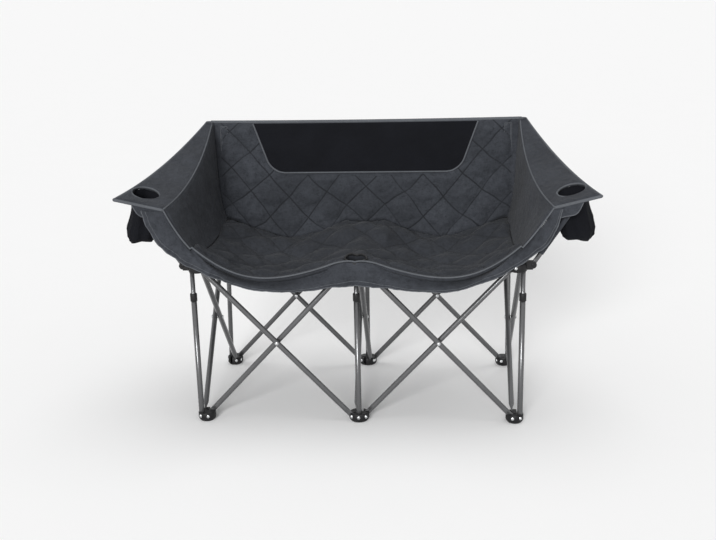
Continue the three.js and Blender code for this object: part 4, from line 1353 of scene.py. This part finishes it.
class CHAIR_OT_backrest(bpy.types.Operator):
    """Builds the quilted backrest and the sleeves behind it that hold the back posts"""

    bl_idname = "chair.backrest"
    bl_label = "Backrest"

    def execute(self, context):
        count = quilt_cells(2 * BACK_HALF_WIDTH)
        width = 2 * BACK_HALF_WIDTH

        def rim_distance(u, v):
            return min((1 - abs(2 * u - 1)) * BACK_HALF_WIDTH, v * BACK_HEIGHT, (1 - v) * BACK_HEIGHT)

        def quilted(u, v):
            x, z = back_point((2 * u - 1) * BACK_HALF_WIDTH, v).xz
            side = ease(WALL_REACH - abs(x), 0.0, 0.018)
            return ease(window_away(x, z), 0.010, 0.026) * side * ease(1 - v, 0.03, 0.09) * ease(v, 0.01, 0.05)

        def top(u, v):
            su, sv = strayed(u, v, width, BACK_HEIGHT, 6.0)
            point = back_point((2 * su - 1) * BACK_HALF_WIDTH, sv)
            full = quilted(u, v)
            relief = quilt_relief((u - 0.5) * count, v * BACK_ROWS, 5.0) * full
            relief += 0.0025 * ease(window_away(point.x, point.z), 0.006, 0.014)
            point.y -= relief - edge_roll(rim_distance(u, v))
            point.y -= wrinkle(point, 22, sizes().wrinkle_height) * min(1.0, full + 0.15)
            return point

        def bottom(u, v):
            point = back_point((2 * u - 1) * BACK_HALF_WIDTH, v)
            point.y += PAD - edge_roll(rim_distance(u, v)) + wrinkle(point, 9, 0.0012)
            return point

        def free(u, v):
            return 0.0 if quilted(u, v) < 0.3 else unsewn((u - 0.5) * count, v * BACK_ROWS)

        def plain(u, v):
            x, z = back_point((2 * u - 1) * BACK_HALF_WIDTH, clamp(v)).xz
            return window_away(x, z) < 0.008 or abs(x) > WALL_REACH

        bm = pad_mesh(count * SEWN_CELLS, BACK_ROWS * SEWN_CELLS, top, bottom,
                      scaled_map(width, BACK_HEIGHT), quilt_map(count, BACK_ROWS), free, plain)
        swell(bm, QUILT_CAP, slack=0.04)
        body = "centre_back_post"
        cloth_piece("backrest_cushion", bm, body, ["backrest_pad"], look="backrest")
        edge = [back_point((2 * k / 80 - 1) * (BACK_HALF_WIDTH - 0.001), 1.0) for k in range(81)]
        edge = [(p.x, p.y + PAD / 2, p.z - 0.001) for p in edge]
        cord("backrest_top_binding", edge, 0.0066, body)
        for place, side in SIDES:
            self.corner_patch(place, side, body)
        for place, side in PLACES:
            x, low, high = side * CORNER_POST, 0.60, 0.868
            bm = rod(0.0105, (x, back_post_y(low), low), (x, back_post_y(high), high), 36, 0.004)
            for vert in bm.verts:
                vert.co.y += wrinkle(vert.co, 30, 0.001)
            lay_uv(bm, "cloth", flat_map)
            new_piece(f"{place}_post_sleeve", place_y(bm), f"{place}_back_post", "fabric")
        return {"FINISHED"}

    def corner_patch(self, place, side, body):
        """The patch sewn over each upper corner, where a post ends behind it."""
        inner, outer, low, high = PATCH_BOX

        def spot(u, v, lift):
            x, z = inner + (outer - inner) * u, low + (high - low) * v
            return Vector((side * x, back_face_y(z) - 0.0016 - lift + wrinkle((x, side, z), 24, 0.0008), z))

        bm = layer_mesh(12, 30, lambda u, v, lift: spot(u if side > 0 else 1 - u, v, lift), 0.0014, -0.0010,
                        outer - inner, high - low)
        cloth_piece(f"{place}_corner_patch", bm, body)
        for k, inset in enumerate((0.07, 0.22)):
            end = inset * 0.3
            corners = ((inset, end), (1 - inset, end), (1 - inset, 1 - end), (inset, 1 - end))
            loop = []
            for (u0, v0), (u1, v1) in zip(corners, corners[1:] + corners[:1]):
                loop += [spot(u0 + (u1 - u0) * m / 12, v0 + (v1 - v0) * m / 12, 0.0015) for m in range(12)]
            cord(f"{place}_patch_stitches_{k}", loop, 0.0009, body, True)


class CHAIR_OT_window(bpy.types.Operator):
    """Builds the black mesh window and the binding round it"""

    bl_idname = "chair.window"
    bl_label = "Mesh window"

    def execute(self, context):
        def point(u, v, lift):
            z = WINDOW_TOP - WINDOW_HEIGHT * (1 - v)
            x = (2 * u - 1) * window_half_width(z)
            sag = 0.004 * math.sin(math.pi * u) * math.sin(math.pi * v)
            y = back_face_y(z) - lift - 0.0004 + wrinkle((x, 0.0, z), 10, 0.0009) - sag * 0.2
            return Vector((x, y, z - BACK_TOP_SAG * (1 - (x / BACK_HALF_WIDTH) ** 2) * 0.55 * v))

        body = "centre_back_post"
        bm = layer_mesh(150, 36, point, 0.0026, 0.0008, 0.70, WINDOW_HEIGHT)
        piece = cloth_piece("backrest_mesh_panel", bm, body, ["backrest_mesh_window"], "mesh")
        corners = [(0.0, 1 - k / 60) for k in range(61)] + [(k / 120, 0.0) for k in range(1, 120)]
        corners += [(1.0, k / 60) for k in range(61)]
        cord("window_binding", [point(u, v, 0.0032) for u, v in corners], 0.0030, body)
        return {"FINISHED"}


class CHAIR_OT_arms(bpy.types.Operator):
    """Builds the padded arms with their inner walls, piping and drink holes"""

    bl_idname = "chair.arms"
    bl_label = "Arms"

    def execute(self, context):
        for place, side in SIDES:
            self.cushion(place, side)
            self.strips(place, side)
            self.cords(place, side)
        return {"FINISHED"}

    def cushion(self, place, side):
        def middle(u, v):
            return arm_point(side, u if side > 0 else 1 - u, v)

        def from_crest(u):
            return abs((u if side > 0 else 1 - u) - 0.5)

        def skin(u, v, sign):
            point = middle(u, v)
            crest = min(1.0, from_crest(u) / 0.07)
            full = rounded(border(u, v, *ARM_CLOTH), ARM_RIM) * (0.55 + 0.45 * crest)
            fat = 1.0 if sign > 0 else 0.85
            soft = wrinkle(point, 13, sizes().wrinkle_height * 1.5) * min(1.0, full)
            return point + surface_normal(middle, u, v) * (sign * ARM_THICKNESS / 2 * full * fat + soft)

        def free(u, v):
            return 0.0 if border(u, v, *ARM_CLOTH) < ARM_RIM or from_crest(u) < 0.035 else 1.0

        bm = pad_mesh(84, 96, lambda u, v: skin(u, v, 1), lambda u, v: skin(u, v, -1),
                      scaled_map(0.38, 0.57), free=free)
        swell(bm, ARM_CAP, slack=0.025, pressure=2.0)
        cup_x, cup_y = side * CUP_CENTRE[0], CUP_CENTRE[1] + MIDDLE_Y
        bm = carve(bm, cut=[rod(CUP_HOLE_RADIUS, (cup_x, cup_y, 0.6), (cup_x, cup_y, 0.85), 64)])
        cloth_piece(f"{place}_arm_cushion", bm, f"{place}_arm", [f"{place}_arm_pad"])

    def strips(self, place, side):
        for name, bm in (
                ("seam", layer_mesh(12, 80, lambda u, v, lift: seam_point(side, u, v, lift),
                                    0.0008, -0.0008, 0.03, 0.55)),
                ("corner", layer_mesh(80, 6, lambda u, v, lift: corner_point(side, u, v, lift),
                                      1, -1, 0.38, 0.02))):
            cloth_piece(f"{place}_{name}_strip", bm, f"{place}_arm")

    def cords(self, place, side):
        crest, outer = ([arm_point(side, u, k / CORD_STEPS) for k in range(CORD_STEPS + 1)] for u in (0.5, 1.0))
        back_y = back_face_y(BACK_TOP) + PAD / 2
        shoulder = [(side * 0.540, back_y, BACK_TOP - 0.002),
                    (side * 0.549, back_y - 0.004, BACK_TOP - 0.0015), outer[-1]]
        ring = []
        for turn in ring_turns():
            x, y = (CUP_CENTRE[k] + CUP_HOLE_RADIUS * (math.cos, math.sin)[k](turn) for k in (0, 1))
            ring.append((side * x, y, arm_height(x, y) + 0.0035))
        for name, points, radius, closed in (
                ("arm_crest_piping", [p + Vector((0, 0, 0.0045)) for p in crest], sizes().piping_radius, False),
                ("arm_edge_binding", outer, EDGE_BINDING_RADIUS, False),
                ("shoulder_binding", [through(shoulder, k / 12) for k in range(13)], 0.0058, False),
                ("arm_front_binding", [arm_point(side, 0.5 + k / 40, 0.0) for k in range(21)],
                 EDGE_BINDING_RADIUS, False),
                ("drink_hole_binding", ring, 0.0034, True)):
            cord(f"{place}_{name}", points, radius, f"{place}_arm", closed)


def seam_point(side, u, v, lift):
    """A strip sewn to an arm's lower edge that runs down and in under the edge of the seat."""
    base = arm_point(1, 0.0, 0.02 + 0.96 * v)
    share = clamp((base.y - FRONT_Y) / (back_face_y(0.53) - FRONT_Y))
    under = seat_point(SEAT_HALF_WIDTH, share).z - PAD - 0.0028
    x, z = through(((0.5022, base.z + 0.004), (0.5006, base.z - 0.004), (0.5000, under + 0.002),
                    (0.4975, under - 0.001), (0.482, under - 0.001)), u)
    return Vector((side * (x - lift), base.y, z - lift))


def corner_point(side, u, v, sign):
    """A strip that joins an arm's rear edge to the face of the backrest."""
    def middle(a, b):
        return arm_point(side, a if side > 0 else 1 - a, b)
    point = middle(u, 1.0)
    way = surface_normal(middle, u, 1.0)
    point.y += -0.012 + 0.0215 * v
    return point + way * (sign * (0.0050 - 0.0012 * abs(2 * v - 1)))


class CHAIR_OT_pockets(bpy.types.Operator):
    """Builds the mesh pockets that hang under the drink holes"""

    bl_idname = "chair.pockets"
    bl_label = "Drink pockets"

    def execute(self, context):
        profile = [(radius, POCKET_BOTTOM + height) for radius, height in POCKET_PROFILE]
        cup_x, cup_y = CUP_CENTRE
        for place, side in SIDES:
            bm = turned(profile, 96)
            bmesh.ops.subdivide_edges(bm, edges=bm.edges, cuts=1, use_grid_fill=True)
            for vert in bm.verts:
                self.drape(vert, side)
                if vert.co.z > POCKET_BOTTOM + 0.128:
                    vert.co.z = arm_height(cup_x + side * vert.co.x, cup_y + vert.co.y) - 0.0035
                vert.co.z = max(vert.co.z, POCKET_BOTTOM - 0.002)
            lay_pocket_uv(bm)
            bmesh.ops.solidify(bm, geom=bm.faces[:], thickness=0.0012)
            bm = place_y(shift(face_out(bm), side * cup_x, cup_y))
            body = f"{place}_arm"
            piece = cloth_piece(f"{place}_drink_pocket", bm, body, [f"{place}_cup_pocket"], "mesh")
            pocket_area(profile)
        return {"FINISHED"}

    def drape(self, vert, side):
        """Folds the pocket's wall; the left one is drawn in below its rim, the right one is wider."""
        turn = math.atan2(vert.co.y, vert.co.x)
        drop = (vert.co.z - POCKET_BOTTOM) / POCKET_DEPTH
        fold = 0.0030 * math.sin(5 * turn + side) + 0.0022 * math.sin(9 * turn + 2.1 * side)
        fold -= 0.011 * (1 - side) / 2 * ease(drop, 0.30, 0.70) * (1 - ease(drop, 0.78, 0.92))
        vert.co.xy *= 1 + (fold + wrinkle(vert.co, 30, 0.006)) * (1 - 0.7 * drop) / 0.05
        vert.co.z += 0.003 * math.sin(3 * turn + side) * (1 - drop) * (0.2 + min(1.0, vert.co.xy.length / 0.04))
        vert.co.x = vert.co.x * (1 + max(0, side) * 0.06) + side * 0.026 * (1 - drop) * (1 - 0.35 * drop)


def pocket_area(profile):
    return sum(math.pi * (a[0] + b[0]) * math.dist(a, b) for a, b in zip(profile, profile[1:]))


def lay_pocket_uv(bm):
    """Rolls the pocket's map out round its axis."""
    layer = bm.loops.layers.uv.new("cloth")
    for face in bm.faces:
        turns = [math.atan2(loop.vert.co.y, loop.vert.co.x) for loop in face.loops]
        wraps = max(turns) - min(turns) > math.pi
        for loop, turn in zip(face.loops, turns):
            if wraps and turn < 0:
                turn += 2 * math.pi
            loop[layer].uv = (turn * 0.048, loop.vert.co.z + loop.vert.co.xy.length)


def lip_point(side, t):
    """The bucket's front edge: t runs from the middle of the lip, 0, over the arm's inner front corner, 1."""
    turn = 2 * t
    if turn <= 1:
        return side * turn * SEAT_HALF_WIDTH, lip_height(turn * SEAT_HALF_WIDTH)
    base, knee, crest = (ARM_SECTIONS[key][0] for key in ("base", "knee", "piping"))
    if side < 0:
        crest = (crest[0] - LEFT_CREST_SHIFT, crest[1])
    x, z = (bezier(base[k], knee[k], crest[k], turn - 1) for k in (0, 1))
    return side * x, z + 0.004 * (2 - turn)


def signed(share):
    return (1 if share >= 0 else -1), abs(share)


def flap_point(u, v, lift):
    """The loose flap: v is 1 at its top, tucked back under the lip, and 0 at its hem."""
    share = 2 * u - 1
    side, far = signed(share)
    x0, z0 = lip_point(side, far)
    edge_x, edge_z = through(FLAP_HEM[side], far)
    drop = 1 - v
    tuck = ease(abs(x0), 0.045, 0.115) * (1 - 0.72 * ease(abs(x0), 0.440, 0.500)) * (1 - ease(far, 0.90, 0.98))
    z0 -= 0.003 + 0.014 * tuck
    x = x0 + (side * edge_x - x0) * drop
    z = z0 + (edge_z - z0) * drop
    wave = sizes().flap_wave * drop * (0.5 - 0.5 * math.cos(share * 41 + 2 * math.sin(share * 9)))
    wave += abs(wrinkle((x, 0.0, z), 11, 0.007)) * (0.25 + drop)
    crumple = abs(noise.noise(Vector((x * 19 + z * 8, 3.0, z * 24 - x * 6))))
    crumple += 0.5 * abs(noise.noise(Vector((x * 44, 7.0, z * 50))))
    wave += 0.0105 * crumple * (0.25 + 0.75 * ease(drop, 0.0, 0.5))
    belly = 0.005 * math.sin(math.pi * drop)
    hem = 0.0008 * (1 - ease(drop, 0.72, 0.80)) - 0.0006 * math.exp(-((drop - 0.80) / 0.03) ** 2)
    y = FRONT_Y - 0.0016 + 0.019 * tuck * (1 - ease(drop, 0.0, 0.75))
    return Vector((x, y - wave - belly - lift - hem * lift / FLAP_THICKNESS, z))


def band_point(side, u, v, lift):
    """The short band under an arm's front edge: u runs outward from the crest, v is 1 at its top."""
    inner, outer = (arm_point(side, end, 0.0) for end in (0.5, 1.0))
    reach = 0.62 * u
    x, z = abs(inner.x) + (abs(outer.x) - abs(inner.x)) * reach, inner.z + (outer.z - inner.z) * reach
    tall = 0.030 * math.sqrt(max(0.0, 1 - ease(u, 0.62, 1.0) ** 2)) * (0.82 + 0.18 * ease(u, 0.0, 0.3)) + 0.003
    drop = 1 - v
    sway = 0.0035 * math.sin(9 * u + side) * drop + abs(wrinkle((x, side, z), 14, 0.004)) * drop
    return Vector((side * (x - 0.006 * drop * (1 - u)), FRONT_Y - 0.0018 - sway - lift, z - 0.002 - tall * drop))


def sheet_area(point):
    """Area of a sheet that point(u, v, lift) lays, summed over its cells."""
    total = 0.0
    for k in range(120):
        for m in range(6):
            a, b, c, d = (point((k + i) / 120, (m + j) / 6, 0.0) for j in (0, 1) for i in (0, 1))
            total += ((b - a).cross(c - a).length + (b - d).cross(c - d).length) / 2
    return total


class CHAIR_OT_flap(bpy.types.Operator):
    """Builds the loose flap along the front, the piping of the lip and the bands under the arms"""

    bl_idname = "chair.flap"
    bl_label = "Front flap"

    def execute(self, context):
        body = "front_centre_hub"
        bm = layer_mesh(360, 30, flap_point, FLAP_THICKNESS, 0.0, 1.75, 0.08)
        piece = cloth_piece("front_flap_cloth", bm, body, ["front_flap"])
        sheet_area(flap_point)
        lip = [lip_point(*signed(2 * k / 360 - 1)) for k in range(361)]
        lip = [(x, FRONT_Y - 0.0042, z + 0.0010) for x, z in lip]
        cord("lip_piping", lip, sizes().piping_radius, body)
        for name, high, lift, radius in (("flap_hem", 0.0, 0.0012, 0.0019),
                                         ("flap_hem_stitches", 0.20, 0.0021, 0.0009)):
            cord(name, [flap_point(k / 300, high, lift) for k in range(301)], radius, body)
        for place, side in SIDES:
            def point(u, v, lift, side=side):
                return band_point(side, u, v, lift)

            name, body = f"{place}_arm_front_band", f"{place}_arm"
            piece = cloth_piece(name, layer_mesh(60, 16, point, 0.0018, 0.0, 0.11, 0.04), body)
            sheet_area(point)
            cord(name + "_hem", [point(k / 60, 0.0, 0.001) for k in range(61)], 0.0018, body)
        return {"FINISHED"}


def camera_matrix():
    """Turns the camera by yaw, pitch and roll at its place before the chair."""
    yaw, pitch, roll = (math.radians(angle) for angle in CAMERA_TURN)
    ahead = Vector((-math.sin(yaw) * math.cos(pitch), math.cos(yaw) * math.cos(pitch), -math.sin(pitch)))
    level = Vector((math.cos(yaw), math.sin(yaw), 0.0))
    above = level.cross(ahead)
    right = math.cos(roll) * level + math.sin(roll) * above
    up = -math.sin(roll) * level + math.cos(roll) * above
    turn = Matrix((right, up, -ahead)).transposed().to_4x4()
    x, y, z = CAMERA_PLACE
    return Matrix.Translation((x, y + MIDDLE_Y, z)) @ turn


class CHAIR_OT_stage(bpy.types.Operator):
    """Adds the pale floor, the soft lights and the camera"""

    bl_idname = "chair.stage"
    bl_label = "Stage"

    def execute(self, context):
        scene = context.scene
        scene.view_settings.view_transform = "Standard"
        self.add_floor()
        self.add_world(scene)
        for name, spot, spread, power in SUNS:
            light = bpy.data.lights.new(name, "SUN")
            light.angle = math.radians(spread)
            light.energy = power
            lamp = add_object(name, light)
            lamp.location = spot
            lamp.rotation_euler = (SUN_TARGET - Vector(spot)).to_track_quat("-Z", "Y").to_euler()
        camera = bpy.data.cameras.new("camera")
        camera.sensor_fit = "HORIZONTAL"
        camera.sensor_width = SENSOR_WIDTH
        camera.lens = FOCAL_PIXELS / IMAGE_WIDTH * SENSOR_WIDTH
        scene.camera = add_object("camera", camera)
        scene.camera.matrix_world = camera_matrix()
        return {"FINISHED"}

    def add_floor(self):
        bm = bmesh.new()
        bmesh.ops.create_grid(bm, x_segments=1, y_segments=1, size=FLOOR_HALF)
        floor = holder_of(bm, "floor")
        bm.free()
        material, n, shader = start_material("pale_floor")
        colour = colours().floor
        base = n.blend(n.noise(n.place(), 3.0), tint(colour, 0.99), tint(colour, 1.0))
        n.feed(shader, Base_Color=base, Roughness=0.9, Specular_IOR_Level=0.1)
        floor.data.materials.append(material)

    def add_world(self, scene):
        """Full white where it is seen, dimmer where it lights."""
        world = bpy.data.worlds.new("studio")
        world.use_nodes = True
        w = Nodes(world.node_tree)
        path = w.add("ShaderNodeLightPath").outputs
        seen = w.math("MAXIMUM", path["Is Camera Ray"], path["Is Glossy Ray"])
        seen = w.math("MAXIMUM", seen, path["Is Transmission Ray"])
        w.feed(world.node_tree.nodes["Background"], Color=(1.0, 1.0, 1.0, 1.0),
               Strength=w.plus(w.times(seen, 1.0 - WORLD_STRENGTH), WORLD_STRENGTH))
        scene.world = world


OPERATORS = (
    CHAIR_OT_feet, CHAIR_OT_hubs, CHAIR_OT_cross_tubes, CHAIR_OT_posts, CHAIR_OT_arm_supports, CHAIR_OT_seat,
    CHAIR_OT_backrest, CHAIR_OT_window, CHAIR_OT_arms, CHAIR_OT_pockets, CHAIR_OT_flap, CHAIR_OT_stage,
)


class CHAIR_PT_pieces(bpy.types.Panel):
    """Lists the chair's pieces and their sizes and colours"""

    bl_label = "Camp loveseat"
    bl_idname = "CHAIR_PT_pieces"
    bl_space_type = "VIEW_3D"
    bl_region_type = "UI"
    bl_category = "Loveseat"

    def draw(self, context):
        layout = self.layout
        for group in (context.scene.chair_sizes, context.scene.chair_colours):
            box = layout.box()
            for key in group.__annotations__:
                box.prop(group, key)
        for operator in OPERATORS:
            layout.operator(operator.bl_idname)


CLASSES = (ChairSizes, ChairColours, *OPERATORS, CHAIR_PT_pieces)


def register():
    for cls in CLASSES:
        bpy.utils.register_class(cls)
    bpy.types.Scene.chair_sizes = PointerProperty(type=ChairSizes)
    bpy.types.Scene.chair_colours = PointerProperty(type=ChairColours)


def unregister():
    del bpy.types.Scene.chair_colours
    del bpy.types.Scene.chair_sizes
    for cls in reversed(CLASSES):
        bpy.utils.unregister_class(cls)


def main():
    register()
    bpy.ops.chair.feet()
    bpy.ops.chair.hubs()
    bpy.ops.chair.cross_tubes()
    bpy.ops.chair.posts()
    bpy.ops.chair.arm_supports()
    bpy.ops.chair.seat()
    bpy.ops.chair.backrest()
    bpy.ops.chair.window()
    bpy.ops.chair.arms()
    bpy.ops.chair.pockets()
    bpy.ops.chair.flap()
    bpy.ops.chair.stage()


if __name__ == "__main__":
    main()
